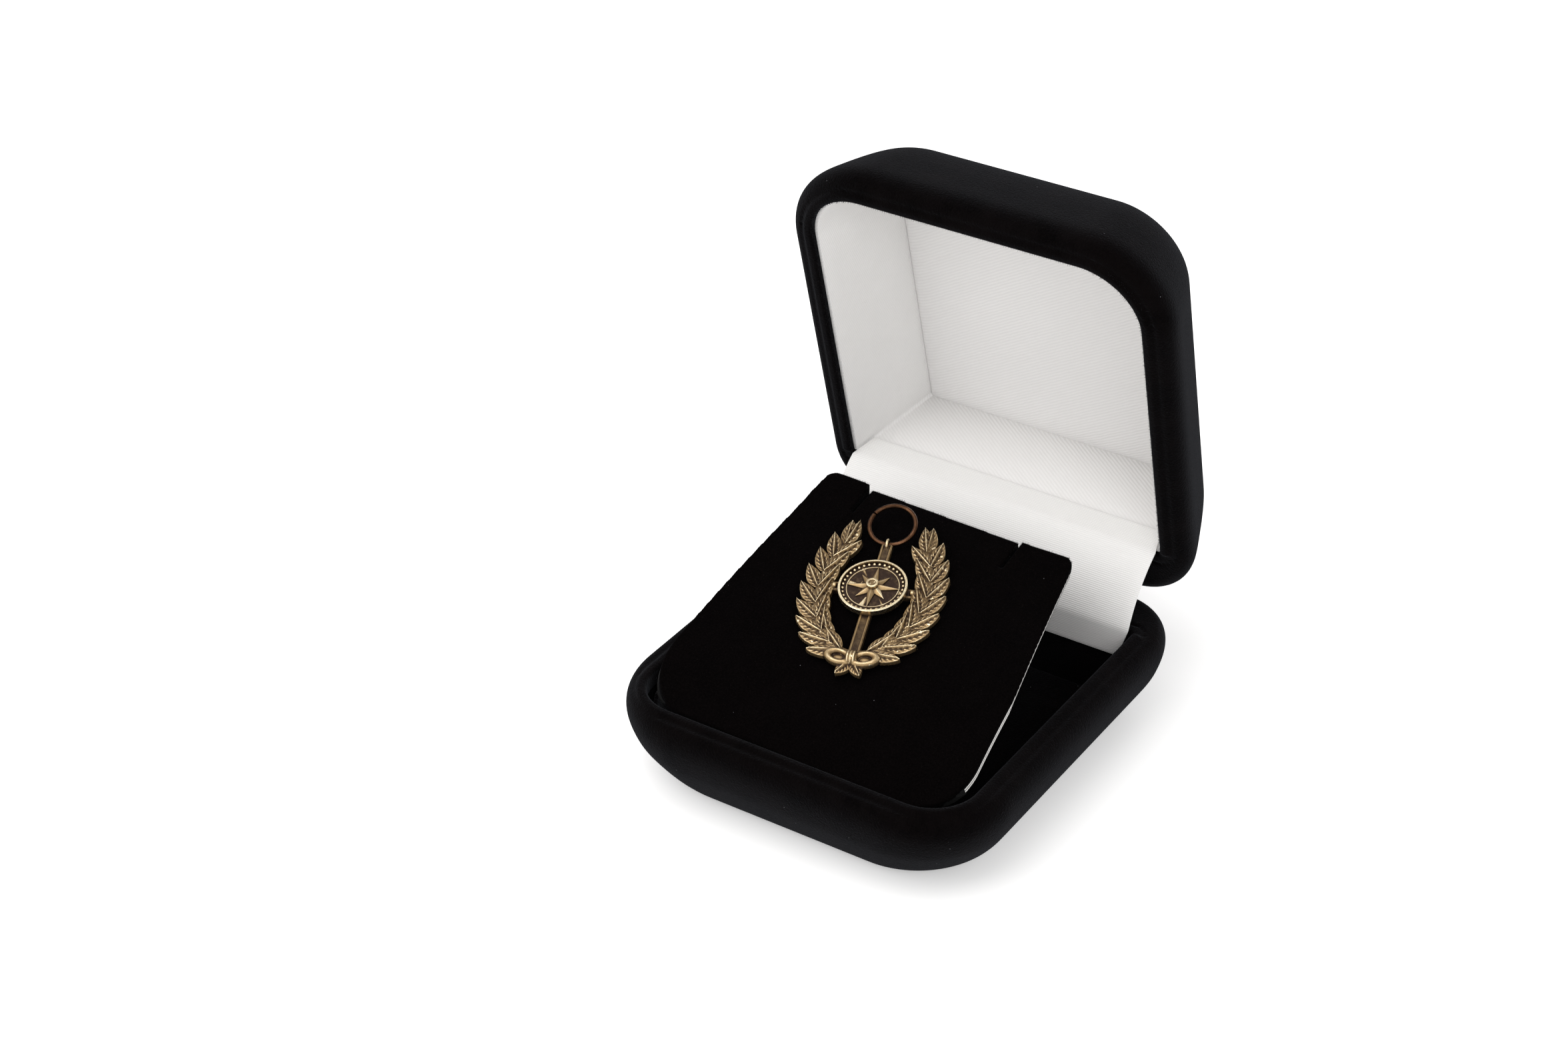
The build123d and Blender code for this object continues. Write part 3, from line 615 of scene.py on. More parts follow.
class PINBOX_OT_covers(bpy.types.Operator):
    """Dress both halves in velvet, with the bead beside the opening"""
    bl_idname = "pinbox.covers"
    bl_label = "Velvet covers"

    def execute(self, context):
        sizes = settings().velvet
        pile = material("black_velvet_pile", velvet_finish)
        for body in ("base", "lid"):
            node = body + "_velvet_cover"
            shut = LID_SHUT if body == "lid" else Matrix.Identity(4)
            cover = settled(node_copy(node, body + "_velvet"), shut)
            modified(cover, "REMESH", mode="VOXEL", voxel_size=sizes.grain, adaptivity=0.0)
            modified(cover, "SMOOTH", factor=0.5, iterations=2)
            faces = len(cover.data.polygons)
            modified(cover, "DECIMATE", decimate_type="COLLAPSE", ratio=min(1.0, 92000 / faces))
            settled(cover, shut.inverted())
            smooth_shaded(cover)
            finished(cover, pile, body, node)
            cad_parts[body + "_shell"].data.materials.clear()
            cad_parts[body + "_shell"].data.materials.append(material("black_moulding", moulding_finish))
        return {"FINISHED"}


class PINBOX_OT_linings(bpy.types.Operator):
    """Line the lid with white satin over its padded panel, and the base with black"""
    bl_idname = "pinbox.linings"
    bl_label = "Linings"

    tuck = 0.0013
    pad_share = 1.03

    def execute(self, context):
        sizes = settings().satin
        satin = material("white_satin_twill", satin_finish)
        black = material("black_lining_flock", velvet_finish, 0.4)
        for node, name, wider in (("lid_wall_lining", "lid_satin_walls", 1.0),
                                  ("lid_rear_lining", "lid_satin_rear", 1.014)):
            cloth = node_copy(node, name)
            edit(cloth, picked=lambda v: lid_place(v.co)[1] > 0.0220)
            bpy.ops.transform.translate(value=LID_IN * self.tuck)
            bpy.ops.mesh.select_all(action="SELECT")
            bpy.ops.transform.resize(value=(wider, 1, 1), center_override=(0, 0, 0))
            done(cloth)
            modified(cloth, "BEVEL", width=0.00018, segments=2, limit_method="ANGLE", angle_limit=math.radians(50))
            smooth_shaded(cloth, math.radians(40))
            finished(cloth, satin, "lid", node)
        walls = softened("base_wall_lining", "base_lining_walls", 0.00045, 3, 0.8)
        finished(walls, black, "base", "base_wall_lining")
        rear = softened("base_rear_lining", "base_lining_rear", 0.0004, 2)
        finished(rear, black, "base", "base_rear_lining")
        board = softened("base_floor_card", "base_floor_flocked", 0.0006, 2)
        finished(board, material("black_floor_flock", velvet_finish, 0.8), "base", "base_floor_card")
        self.pad(context, sizes, satin)
        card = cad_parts["lid_top_card"].data
        card.materials.clear()
        card.materials.append(material("plain_board", board_finish, (0.62, 0.58, 0.50)))
        return {"FINISHED"}

    def pad(self, context, sizes, satin):
        """The lid's panel, swollen a little by a cloth simulation and capped."""
        pad = node_copy("lid_top_pad", "lid_satin_pad")
        middle = sum(lid_place(v.co)[0] for v in pad.data.vertices) / len(pad.data.vertices)
        for vertex in pad.data.vertices:
            vertex.co += LID_UP * ((lid_place(vertex.co)[0] - middle) * (self.pad_share - 1))
            vertex.co.x *= self.pad_share
        settled(pad, LID_SHUT)
        modified(pad, "REMESH", mode="VOXEL", voxel_size=0.0008, adaptivity=0.0)
        modified(pad, "SMOOTH", factor=0.5, iterations=8)
        settled(pad, LID_SHUT.inverted())
        rest = [v.co.copy() for v in pad.data.vertices]
        depth = [-lid_place(co)[1] for co in rest]
        back = min(depth)
        held = pad.vertex_groups.new(name="held")
        held.add([i for i, d in enumerate(depth) if d < back + 0.0012], 1.0, "REPLACE")
        only(pad)
        cloth = pad.modifiers.new("Cloth", "CLOTH")
        cloth.settings.use_pressure = True
        cloth.settings.uniform_pressure_force = 3.0
        cloth.settings.effector_weights.gravity = 0.0
        cloth.settings.vertex_group_mass = "held"
        cloth.settings.quality = 5
        cloth.collision_settings.use_collision = False
        cloth.point_cache.frame_start = 1
        cloth.point_cache.frame_end = 14
        for step in range(1, 15):
            context.scene.frame_set(step)
        bpy.ops.object.modifier_apply(modifier=cloth.name)
        context.scene.frame_set(1)
        for vertex, start in zip(pad.data.vertices, rest):
            move = vertex.co - start
            if move.length > sizes.puff:
                vertex.co = start + move * (sizes.puff / move.length)
        pad.vertex_groups.clear()
        modified(pad, "SMOOTH", factor=0.5, iterations=3)
        modified(pad, "SUBSURF", levels=1, render_levels=1)
        smooth_shaded(pad)
        finished(pad, satin, "lid", "lid_top_pad")


class PINBOX_OT_ribbon(bpy.types.Operator):
    """Lay the satin ribbon over the hinge, from the lid's rear lining down into the base"""
    bl_idname = "pinbox.ribbon"
    bl_label = "Hinge ribbon"

    half_width = 0.0353
    up_lid, down_base = 0.0060, 0.0066
    bulge = 0.0013
    clear = 0.0005
    taper = 0.3
    rows_on_strip, rows_on_bulge = 8, 18

    def path(self):
        """Middle line of the ribbon from the base's lining up to the lid's, as (y, z) points, each with its drop."""
        swing = math.radians(OPEN_ANGLE)
        face = HINGE[1] - OPENING_REAR + 0.0008 + self.clear

        def in_lid(s, t):
            return (HINGE[1] - s * math.cos(swing) + t * math.sin(swing),
                    HINGE[2] + s * math.sin(swing) + t * math.cos(swing))

        base_edge = (HINGE[1] - face, HINGE[2])
        lid_edge = in_lid(face, 0.0)
        points = [((base_edge[0], base_edge[1] - self.down_base * (1 - i / self.rows_on_strip)),
                   self.down_base * (1 - i / self.rows_on_strip)) for i in range(self.rows_on_strip)]
        run = Vector((lid_edge[0] - base_edge[0], lid_edge[1] - base_edge[1]))
        side = Vector((-run.y, run.x)).normalized()
        if side.x > 0:
            side.negate()
        for i in range(self.rows_on_bulge + 1):
            share = i / self.rows_on_bulge
            lift = side * (self.bulge * 4 * share * (1 - share))
            points.append(((base_edge[0] + run.x * share + lift.x, base_edge[1] + run.y * share + lift.y), 0.0))
        for i in range(1, self.rows_on_strip + 1):
            drop = self.up_lid * i / self.rows_on_strip
            points.append((in_lid(face, drop), drop))
        return points

    def execute(self, context):
        points = self.path()
        rows = len(points)
        columns = 48
        bpy.ops.mesh.primitive_grid_add(x_subdivisions=columns, y_subdivisions=rows - 1, size=1.0, calc_uvs=True)
        ribbon = named(context.object, "hinge_satin_ribbon")
        mesh = ribbon.data
        length = [0.0]
        for (a, _), (b, _) in zip(points, points[1:]):
            length.append(length[-1] + math.dist(a, b))
        row_of = {}
        for vertex in mesh.vertices:
            row = round((vertex.co.y + 0.5) * (rows - 1))
            (y, z), drop = points[row]
            half = self.half_width - self.taper * drop
            row_of[vertex.index] = row
            vertex.co = (2 * vertex.co.x * half, y, z)
        layer = mesh.uv_layers.active.data
        for loop in mesh.loops:
            layer[loop.index].uv = (mesh.vertices[loop.vertex_index].co.x, length[row_of[loop.vertex_index]])
        edit(ribbon)
        bpy.ops.mesh.normals_make_consistent(inside=False)
        done(ribbon)
        modified(ribbon, "SOLIDIFY", thickness=0.0003, offset=0.0)
        modified(ribbon, "BEVEL", width=0.0001, segments=2, limit_method="ANGLE")
        smooth_shaded(ribbon, math.radians(50))
        ribbon.data.materials.clear()
        ribbon.data.materials.append(material("white_ribbon_ribs", ribbon_finish))
        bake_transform(ribbon)
        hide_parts("hinge_ribbon")
        return {"FINISHED"}


class PINBOX_OT_insert(bpy.types.Operator):
    """Cover the sloping card with velvet"""
    bl_idname = "pinbox.insert"
    bl_label = "Card insert"

    def execute(self, context):
        cover = node_copy("insert_velvet", "insert_velvet_pile")
        edit(cover, picked=lambda v: self.under(v.co) > 0.0004 and v.co.x < self.bare_edge(v.co.y))
        bpy.ops.transform.translate(value=(0, 0, -self.turn_in))
        bpy.ops.mesh.select_all(action="SELECT")
        bpy.ops.transform.shrink_fatten(value=self.puff)
        done(cover)
        modified(cover, "REMESH", mode="VOXEL", voxel_size=0.00028, adaptivity=0.0)
        for vertex in cover.data.vertices:
            vertex.co.z += self.lifted(vertex.co)
        modified(cover, "SMOOTH", factor=0.5, iterations=3)
        modified(cover, "DECIMATE", decimate_type="COLLAPSE", ratio=0.6)
        smooth_shaded(cover)
        finished(cover, material("insert_velvet_pile", velvet_finish, 1.2, 0.25), "insert", "insert_velvet")
        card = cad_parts["insert_card"].data
        card.materials.clear()
        card.materials.append(material("cut_card_edge", card_edge_finish))
        return {"FINISHED"}

    turn_in, puff = 0.0009, 0.00012
    slit_left, slit_right = -0.0201, 0.0143
    lift, lift_start, lift_end = 0.0012, 0.008, 0.0235

    def lifted(self, co):
        """How far the velvet stands up on the flaps beside the slits."""
        if self.slit_left < co.x < self.slit_right or self.under(co) > 0.0004:
            return 0.0
        share = max(0.0, min(1.0, (co.y - self.lift_start) / (self.lift_end - self.lift_start)))
        side = 1.0 if co.x < 0 else 0.5 + 0.5 * (co.x - self.slit_right) / 0.018
        return self.lift * side * share * share

    def under(self, co):
        """How far a point lies under the face of the slope."""
        share = (co.y - SLOPE_FRONT[0]) / (SLOPE_REAR[0] - SLOPE_FRONT[0])
        face = (SLOPE_FRONT[1] + (SLOPE_REAR[1] - SLOPE_FRONT[1]) * share + 4 * SLOPE_ARCH * share * (1 - share))
        return face - (co.z * math.cos(SLOPE_TILT) + co.x * math.sin(SLOPE_TILT))

    def bare_edge(self, y):
        """Where the card's white edge starts at the right."""
        return min(CARD_EDGE_FRONT, CARD_EDGE_START - CARD_EDGE_SLOPE * y) - 0.0006


class PINBOX_OT_wreath(bpy.types.Operator):
    """Cast the laurel wreath, its bow and the cross that carries the medallion"""
    bl_idname = "pinbox.wreath"
    bl_label = "Laurel wreath"

    first_angle, last_angle = math.radians(14), math.radians(130)
    spread, end_turn = math.radians(28), math.radians(14)
    stem = 0.0007
    leaf_rise = 0.0016
    columns, rows = 26, 12

    def leaf(self, length, width, height):
        """One laurel leaf with a raised middle rib and slanting veins, its foot at the origin, along X."""
        bpy.ops.mesh.primitive_grid_add(x_subdivisions=self.columns, y_subdivisions=self.rows, size=2.0)
        obj = bpy.context.object
        for vertex in obj.data.vertices:
            along = (vertex.co.x + 1) / 2
            side = vertex.co.y
            half = width / 2 * (math.sin(math.pi * along ** 0.85)) ** 0.8
            crown = 1 - side ** 2
            veins = 0.5 + 0.5 * math.cos(2 * math.pi * (6.5 * along - 1.6 * abs(side)))
            rib = max(0.0, 1 - abs(side) / 0.2)
            groove = max(0.0, 1 - abs(abs(side) - 0.3) / 0.14)
            relief = 0.5 * crown + 0.4 * rib - 0.42 * groove - 0.42 * veins * crown * (abs(side) > 0.25)
            vertex.co = (along * length, side * half, height * (0.62 + 0.48 * relief))
        edit(obj)
        bpy.ops.mesh.extrude_region_move(TRANSFORM_OT_translate={"value": (0, 0, 0)})
        bpy.ops.transform.resize(value=(1, 1, 0), center_override=(0, 0, 0))
        bpy.ops.mesh.select_all(action="SELECT")
        bpy.ops.mesh.remove_doubles(threshold=0.000001)
        bpy.ops.mesh.normals_make_consistent(inside=False)
        return done(obj)

    def branch(self, sizes, pattern, side):
        """Leaves of one branch, from the foot upwards."""
        leaves = []
        for index in range(sizes.leaf_pairs):
            share = index / (sizes.leaf_pairs - 1)
            angle = self.first_angle + (self.last_angle - self.first_angle) * share
            x, y = sizes.half_width * math.sin(angle), -sizes.half_height * math.cos(angle)
            heading = math.atan2(sizes.half_height * math.sin(angle), sizes.half_width * math.cos(angle))
            last = index == sizes.leaf_pairs - 1
            for order, turn in enumerate((-self.spread, -self.end_turn if last else self.spread)):
                way = heading + turn
                leaf = copied(pattern)
                tilt = Matrix.Rotation(math.radians(-3), 4, "Y")
                grow = Matrix.Diagonal((1, 1, 1 + 0.16 * order, 1))
                leaf.matrix_world = (Matrix.Translation((side * x, y, 0))
                                     @ Matrix.Rotation(way if side > 0 else math.pi - way, 4, "Z") @ tilt @ grow)
                leaves.append(leaf)
        return leaves

    def execute(self, context):
        sizes = settings().pin
        pattern = self.leaf(sizes.leaf_length, sizes.leaf_width, self.leaf_rise)
        pieces = self.branch(sizes, pattern, 1) + self.branch(sizes, pattern, -1)
        pieces += self.stem_pieces(sizes)
        pieces += self.bow_pieces(sizes)
        pieces += self.cross_pieces(sizes)
        bpy.data.objects.remove(pattern)
        for piece in pieces:
            settled(piece, Matrix.Identity(4))
        wreath = joined(pieces, "pin_wreath_cast")
        modified(wreath, "REMESH", mode="VOXEL", voxel_size=sizes.cast_grain, adaptivity=0.0)
        modified(wreath, "SMOOTH", factor=0.3, iterations=1)
        faces = len(wreath.data.polygons)
        if faces > 90000:
            modified(wreath, "DECIMATE", decimate_type="COLLAPSE", ratio=90000 / faces)
        smooth_shaded(wreath)
        settled(wreath, PIN_MATRIX)
        brass = material("antique_brass_wreath", antique_finish, 0.0004, 0.0019)
        finished(wreath, brass, "pin", "pin_wreath")
        return {"FINISHED"}

    def stem_pieces(self, sizes):
        """The stem: a round section swept round an oval, open at the top."""
        bpy.ops.mesh.primitive_circle_add(vertices=14, radius=self.stem, fill_type="NGON",
                                          location=(sizes.half_width, 0, self.stem * 0.9),
                                          rotation=(math.pi / 2, 0, 0))
        stem = bpy.context.object
        settled(stem, Matrix.Rotation(self.last_angle - math.pi / 2, 4, "Z"))
        edit(stem)
        bpy.ops.mesh.spin(steps=96, angle=2 * self.last_angle, center=(0, 0, 0), axis=(0, 0, 1))
        bpy.ops.mesh.select_all(action="SELECT")
        bpy.ops.mesh.normals_make_consistent(inside=False)
        bpy.ops.transform.resize(value=(1, sizes.half_height / sizes.half_width, 1), center_override=(0, 0, 0))
        done(stem)
        return [stem]

    def bow_pieces(self, sizes):
        """Two loops, a knot and two tails at the foot of the wreath."""
        foot = -sizes.half_height - 0.0013
        made = []
        for side in (-1, 1):
            bpy.ops.mesh.primitive_torus_add(major_segments=40, minor_segments=12, major_radius=0.00155,
                                             minor_radius=0.00062, location=(side * 0.0026, foot, 0.00105))
            loop = bpy.context.object
            loop.rotation_euler = (0, 0, side * math.radians(16))
            loop.scale = (1.42, 0.86, 1.5)
            made.append(loop)
            bpy.ops.mesh.primitive_uv_sphere_add(segments=24, ring_count=12, radius=0.0012,
                                                 location=(side * 0.0026, foot, 0.0004))
            web = bpy.context.object
            web.scale = (1.4, 0.8, 0.8)
            made.append(web)
            tail = self.leaf(0.0046, 0.0026, 0.0015)
            turn = math.radians(-58 if side > 0 else 58 - 180)
            tail.matrix_world = Matrix.Translation((0, foot, 0)) @ Matrix.Rotation(turn, 4, "Z")
            made.append(tail)
        bpy.ops.mesh.primitive_uv_sphere_add(segments=32, ring_count=16, radius=0.0014, location=(0, foot, 0.0013))
        knot = bpy.context.object
        knot.scale = (0.9, 1.05, 1.0)
        made.append(knot)
        for offset in (-0.0006, 0.0, 0.0006):
            bpy.ops.mesh.primitive_torus_add(major_segments=32, minor_segments=8, major_radius=0.00128,
                                             minor_radius=0.0002, location=(offset, foot, 0.0013),
                                             rotation=(0, math.pi / 2, 0))
            fold = bpy.context.object
            fold.scale = (1, 1.05, 1)
            made.append(fold)
        return made

    def bar(self, x_low, x_high, y_low, y_high, height, edge):
        """A flat bar with its upper edges rounded and a channel along its middle."""
        bpy.ops.mesh.primitive_cube_add(size=1.0, location=((x_low + x_high) / 2, (y_low + y_high) / 2, height / 2))
        bar = bpy.context.object
        bar.scale = (x_high - x_low, y_high - y_low, height)
        settled(bar, Matrix.Identity(4))
        edit(bar, "FACE", lambda face: face.normal.z > 0.9)
        bpy.ops.mesh.inset(thickness=edge, depth=edge * 0.6)
        bpy.ops.mesh.inset(thickness=edge * 1.1, depth=-edge * 0.9)
        done(bar)
        return bar

    def cross_pieces(self, sizes):
        """Cross under the medallion, and the eye that holds the ring."""
        reach = 0.0012
        made = [
            self.bar(-sizes.half_width, sizes.half_width, -0.0011, 0.0011, 0.0011, 0.0003),
            self.bar(-0.0011, 0.0011, -sizes.half_height, 0.0123, 0.0011, 0.0003),
        ]
        bpy.ops.mesh.primitive_torus_add(major_segments=40, minor_segments=16, major_radius=0.00093,
                                         minor_radius=0.00030, location=(0, 0.0123, 0.00095),
                                         rotation=(0, math.pi / 2, 0))
        eye = bpy.context.object
        eye.scale = (1, 1, 1.0)
        made.append(eye)
        for side in (-1, 1):
            bpy.ops.mesh.primitive_uv_sphere_add(segments=16, ring_count=8, radius=reach * 0.5,
                                                 location=(side * 0.0078, 0, 0.0013))
            made.append(bpy.context.object)
        return made


class PINBOX_OT_medallion(bpy.types.Operator):
    """Cast the medallion: a faceted star on a stippled plate with a beaded rim"""
    bl_idname = "pinbox.medallion"
    bl_label = "Star medallion"

    radius, foot, plate, rim, apex = 0.0068, 0.0012, 0.0018, 0.0024, 0.0029
    star_reach, star_short, star_waist = 0.0054, 0.0040, 0.0019
    beads = 36
    head, shank, post_top, tip = 0.0012, 0.0006, 0.0033, -0.008

    def execute(self, context):
        pieces = [self.dish(), self.star()]
        bpy.ops.mesh.primitive_uv_sphere_add(segments=12, ring_count=8, radius=0.00034)
        bead = context.object
        for index in range(self.beads):
            angle = 2 * math.pi * index / self.beads
            twin = copied(bead)
            twin.location = (0.00595 * math.cos(angle), 0.00595 * math.sin(angle), self.plate + 0.00008)
            pieces.append(twin)
        bpy.data.objects.remove(bead)
        for piece in pieces:
            settled(piece, Matrix.Identity(4))
        medal = joined(pieces, "pin_star_medallion")
        smooth_shaded(medal, math.radians(28))
        settled(medal, PIN_MATRIX)
        brass = material("antique_brass_medallion", antique_finish, 0.0016, 0.0026)
        finished(medal, brass, "pin", "pin_medallion")
        self.rivet(context)
        return {"FINISHED"}

    def rivet(self, context):
        """Post through the pin, its head spread into a hollow ring."""
        bpy.ops.mesh.primitive_cylinder_add(vertices=48, radius=self.head, depth=self.post_top - self.apex + 0.0002,
                                            location=(0, 0, (self.post_top + self.apex) / 2 - 0.0001))
        head = context.object
        settled(head, Matrix.Identity(4))
        edit(head, "FACE", lambda face: face.normal.z > 0.9)
        bpy.ops.mesh.inset(thickness=0.00012, depth=0.00006)
        bpy.ops.mesh.inset(thickness=0.00036, depth=0.0)
        bpy.ops.mesh.inset(thickness=0.00010, depth=-0.00022)
        bpy.ops.mesh.inset(thickness=0.00030, depth=0.0)
        done(head)
        modified(head, "BEVEL", width=0.00006, segments=2, limit_method="ANGLE", angle_limit=math.radians(30))
        bpy.ops.mesh.primitive_cylinder_add(vertices=32, radius=self.shank, depth=self.apex - self.tip,
                                            location=(0, 0, (self.apex + self.tip) / 2))
        shank = context.object
        settled(shank, Matrix.Identity(4))
        edit(shank, "FACE", lambda face: face.normal.z < -0.9)
        bpy.ops.mesh.inset(thickness=0.00022, depth=0.0003)
        done(shank)
        post = joined([head, shank], "pin_riveted_post")
        smooth_shaded(post, math.radians(40))
        settled(post, PIN_MATRIX)
        finished(post, material("antique_brass_post", antique_finish, 0.0022, 0.0032), "pin", "pin_post")

    def dish(self):
        """Round plate with a stepped, rounded rim."""
        bpy.ops.mesh.primitive_cylinder_add(vertices=96, radius=self.radius, depth=self.rim - self.foot,
                                            location=(0, 0, (self.rim + self.foot) / 2))
        dish = bpy.context.object
        settled(dish, Matrix.Identity(4))
        edit(dish, "FACE", lambda face: face.normal.z > 0.9)
        bpy.ops.mesh.inset(thickness=0.00012, depth=0.00008)
        bpy.ops.mesh.inset(thickness=0.00032, depth=0.0)
        bpy.ops.mesh.inset(thickness=0.00012, depth=-(self.rim - self.plate + 0.00008))
        bpy.ops.mesh.inset(thickness=0.0009, depth=0.0)
        bpy.ops.mesh.inset(thickness=0.0001, depth=0.00016)
        bpy.ops.mesh.inset(thickness=0.00016, depth=0.0)
        bpy.ops.mesh.inset(thickness=0.0001, depth=-0.00016)
        bpy.ops.mesh.inset(thickness=0.0022, depth=0.0)
        done(dish)
        return dish

    def star(self):
        """Eight-pointed star whose arms rise to a ridge."""
        points = 8
        bpy.ops.mesh.primitive_circle_add(vertices=2 * points, radius=1.0, fill_type="NGON",
                                          location=(0, 0, 0))
        star = bpy.context.object
        for vertex in star.data.vertices:
            turn = round(math.degrees(math.atan2(vertex.co.x, vertex.co.y)) / (180 / points)) % (2 * points)
            reach = (self.star_reach, self.star_waist, self.star_short, self.star_waist)[turn % 4]
            vertex.co = vertex.co.normalized() * reach
            vertex.co.z = self.plate - 0.0001
        edit(star)
        bpy.ops.mesh.extrude_region_move(TRANSFORM_OT_translate={"value": (0, 0, 0.00035)})
        bpy.ops.mesh.poke()
        done(star)
        middle = [v for v in star.data.vertices if math.hypot(v.co.x, v.co.y) < 0.0001]
        top = max(middle, key=lambda v: v.co.z)
        top.co.z = self.apex
        edit(star)
        bpy.ops.mesh.normals_make_consistent(inside=False)
        done(star)
        return modified(star, "BEVEL", width=0.00006, segments=2, limit_method="ANGLE",
                        angle_limit=math.radians(20))


class PINBOX_OT_ring(bpy.types.Operator):
    """Bend the wire ring, with the gap where its ends meet"""
    bl_idname = "pinbox.ring"
    bl_label = "Wire ring"

    radius, wire, tilt = 0.0046, 0.00045, math.radians(10)
    eye = (0.0, 0.0123, 0.00095)
    gap = math.radians(3)

    def execute(self, context):
        start = math.radians(150)
        bpy.ops.mesh.primitive_circle_add(vertices=20, radius=self.wire, fill_type="NGON",
                                          location=(self.radius, 0, 0), rotation=(math.pi / 2, 0, 0))
        ring = named(context.object, "pin_wire_ring")
        settled(ring, Matrix.Rotation(start, 4, "Z"))
        edit(ring)
        bpy.ops.mesh.spin(steps=120, angle=2 * math.pi - self.gap, center=(0, 0, 0), axis=(0, 0, 1))
        bpy.ops.mesh.select_all(action="SELECT")
        bpy.ops.mesh.normals_make_consistent(inside=False)
        done(ring)
        modified(ring, "BEVEL", width=0.00008, segments=2, limit_method="ANGLE", angle_limit=math.radians(60))
        smooth_shaded(ring, math.radians(40))
        lie = (Matrix.Translation(self.eye) @ Matrix.Rotation(self.tilt, 4, "X")
               @ Matrix.Translation((0, self.radius, 0)))
        settled(ring, PIN_MATRIX @ lie)
        finished(ring, material("browned_wire", wire_finish), "ring", "wire_ring")
        return {"FINISHED"}


class PINBOX_OT_pile(bpy.types.Operator):
    """Stand single fibres along the velvet edges that show against the white lining"""
    bl_idname = "pinbox.pile"
    bl_label = "Velvet fibres"

    length, thickness, root = 0.0006, 0.00007, 0.0002
    lid_fibres, insert_fibres = 1300, 650

    def execute(self, context):
        chance = random.Random(11)
        skin = softened("lid_velvet_cover", "lid_skin", 0.0005, 1)
        rim = [v for v in skin.data.vertices if self.on_rim(v)]
        self.fibres(chance, rim, self.lid_fibres, "lid_rim_fibres", "lid")
        bpy.data.objects.remove(skin)
        edge = [v for v in bpy.data.objects["insert_velvet_pile"].data.vertices
                if 0.2 < v.normal.z < 0.9 and v.co.y > 0.0218 and abs(v.co.x) < 0.0287]
        self.fibres(chance, edge, self.insert_fibres, "insert_edge_fibres", "insert")
        return {"FINISHED"}

    def on_rim(self, vertex):
        """Whether a point lies on the inner edge of the lid's bead."""
        up, into = lid_place(vertex.co)
        out = -vertex.normal.dot(LID_IN)
        inside = abs(vertex.co.x) < 0.0366 and up < 0.0846
        return -0.0005 < into < 0.0012 and 0.0 < out < 0.8 and inside and up > 0.0130

    def fibres(self, chance, places, count, name, body):
        """One short three-sided spike at each of some places, leaning at random."""
        bpy.ops.mesh.primitive_cone_add(vertices=3, radius1=self.thickness, radius2=0.0, depth=self.length,
                                        location=(0, 0, self.length / 2 - self.root))
        spike = settled(bpy.context.object, Matrix.Identity(4))
        chosen = chance.sample(places, min(count, len(places)))
        made = []
        for vertex in chosen:
            lean = Vector([chance.uniform(-0.6, 0.6) for _ in range(3)])
            way = (vertex.normal + lean).normalized()
            twin = copied(spike)
            size = chance.uniform(0.6, 1.2)
            twin.matrix_world = (Matrix.Translation(vertex.co) @ way.to_track_quat("Z", "Y").to_matrix().to_4x4()
                                 @ Matrix.Diagonal((1, 1, size, 1)))
            made.append(twin)
        bpy.data.objects.remove(spike)
        tuft = joined(made, name)
        settled(tuft, Matrix.Identity(4))
        return finished(tuft, material("black_fibre", board_finish, (0.006, 0.006, 0.007), 0.3), body, None)


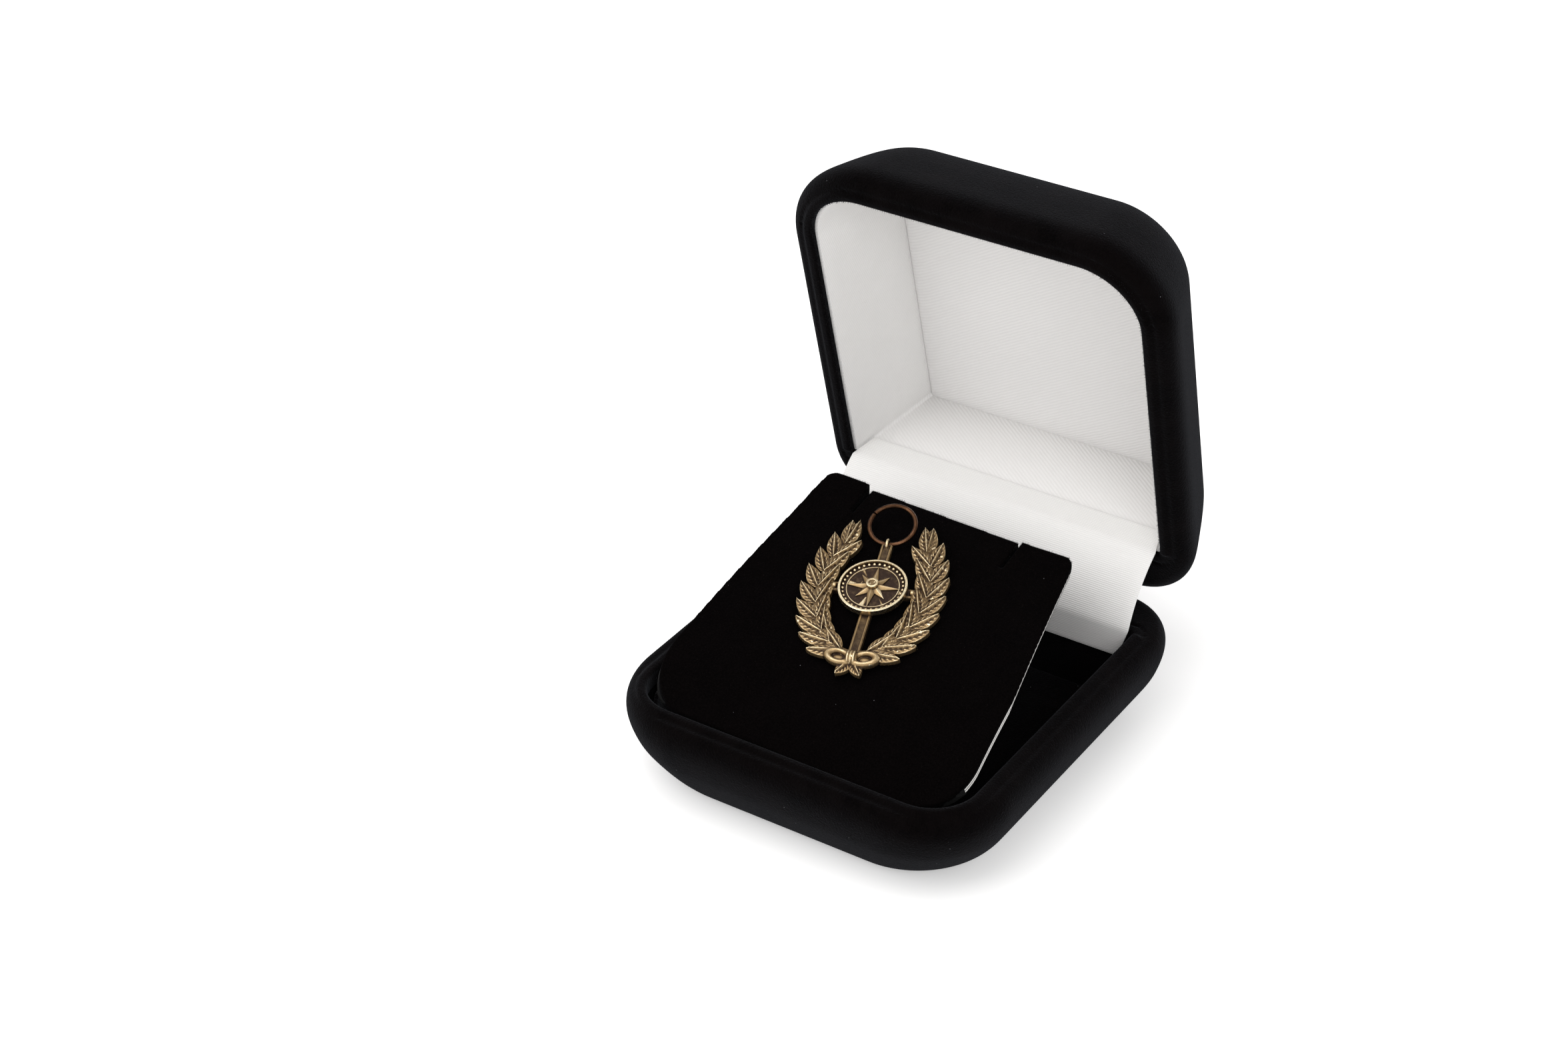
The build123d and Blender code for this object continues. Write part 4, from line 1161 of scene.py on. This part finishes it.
class PINBOX_OT_hardware(bpy.types.Operator):
    """Finish the hidden steel of the hinge and the pressed brass clutch"""
    bl_idname = "pinbox.hardware"
    bl_label = "Hinge and clutch"

    # Where each bowed spring leaves the base and where it meets the lid, as (y, z) from the hinge's axis
    spring_foot, spring_head = (-0.0079, 0.0), (-0.0021, 0.0076)

    def execute(self, context):
        steel = material("spring_steel", steel_finish)
        for name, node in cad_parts.items():
            if name.startswith(("base_hinge", "lid_hinge", "hinge_pin")):
                node.data.materials.clear()
                node.data.materials.append(steel)
        for side in ("left", "right"):
            node = "snap_spring_" + side
            spring = node_copy(node, "bowed_spring_" + side)
            smooth_shaded(spring, math.radians(40))
            spring.data.materials.clear()
            spring.data.materials.append(steel)
            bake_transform(spring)
            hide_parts(node)
        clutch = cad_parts["clutch_body"].data
        clutch.materials.clear()
        clutch.materials.append(material("pressed_brass", pressed_brass_finish))
        return {"FINISHED"}


OPERATORS = (
    PINBOX_OT_stage, PINBOX_OT_covers, PINBOX_OT_linings, PINBOX_OT_ribbon, PINBOX_OT_insert,
    PINBOX_OT_pile, PINBOX_OT_wreath, PINBOX_OT_medallion, PINBOX_OT_ring, PINBOX_OT_hardware,
)


class PinBoxSettings(bpy.types.PropertyGroup):
    velvet: PointerProperty(type=VelvetSizes, name="Velvet", description="Velvet covers")
    satin: PointerProperty(type=SatinSizes, name="Satin", description="Satin linings and ribbon")
    pin: PointerProperty(type=PinSizes, name="Pin", description="Cast pin and its ring")
    stage: PointerProperty(type=StageSizes, name="Stage", description="Camera, floor and light")


class PINBOX_PT_panel(bpy.types.Panel):
    """Sizes and pieces of the pin box"""
    bl_label = "Pin Box"
    bl_idname = "PINBOX_PT_panel"
    bl_space_type = "VIEW_3D"
    bl_region_type = "UI"
    bl_category = "Pin Box"

    def draw(self, context):
        layout = self.layout
        for group in (context.scene.pin_box.velvet, context.scene.pin_box.satin, context.scene.pin_box.pin,
                      context.scene.pin_box.stage):
            box = layout.box()
            for name in type(group).__annotations__:
                box.prop(group, name)
        for operator in OPERATORS:
            layout.operator(operator.bl_idname)


CLASSES = (VelvetSizes, SatinSizes, PinSizes, StageSizes, PinBoxSettings, *OPERATORS, PINBOX_PT_panel)


def register():
    for kind in CLASSES:
        bpy.utils.register_class(kind)
    bpy.types.Scene.pin_box = PointerProperty(type=PinBoxSettings)


def unregister():
    del bpy.types.Scene.pin_box
    for kind in reversed(CLASSES):
        bpy.utils.unregister_class(kind)


def main():
    register()
    bpy.ops.pinbox.stage()
    bpy.ops.pinbox.covers()
    bpy.ops.pinbox.linings()
    bpy.ops.pinbox.ribbon()
    bpy.ops.pinbox.insert()
    bpy.ops.pinbox.pile()
    bpy.ops.pinbox.wreath()
    bpy.ops.pinbox.medallion()
    bpy.ops.pinbox.ring()
    bpy.ops.pinbox.hardware()


if __name__ == "__main__":
    main()
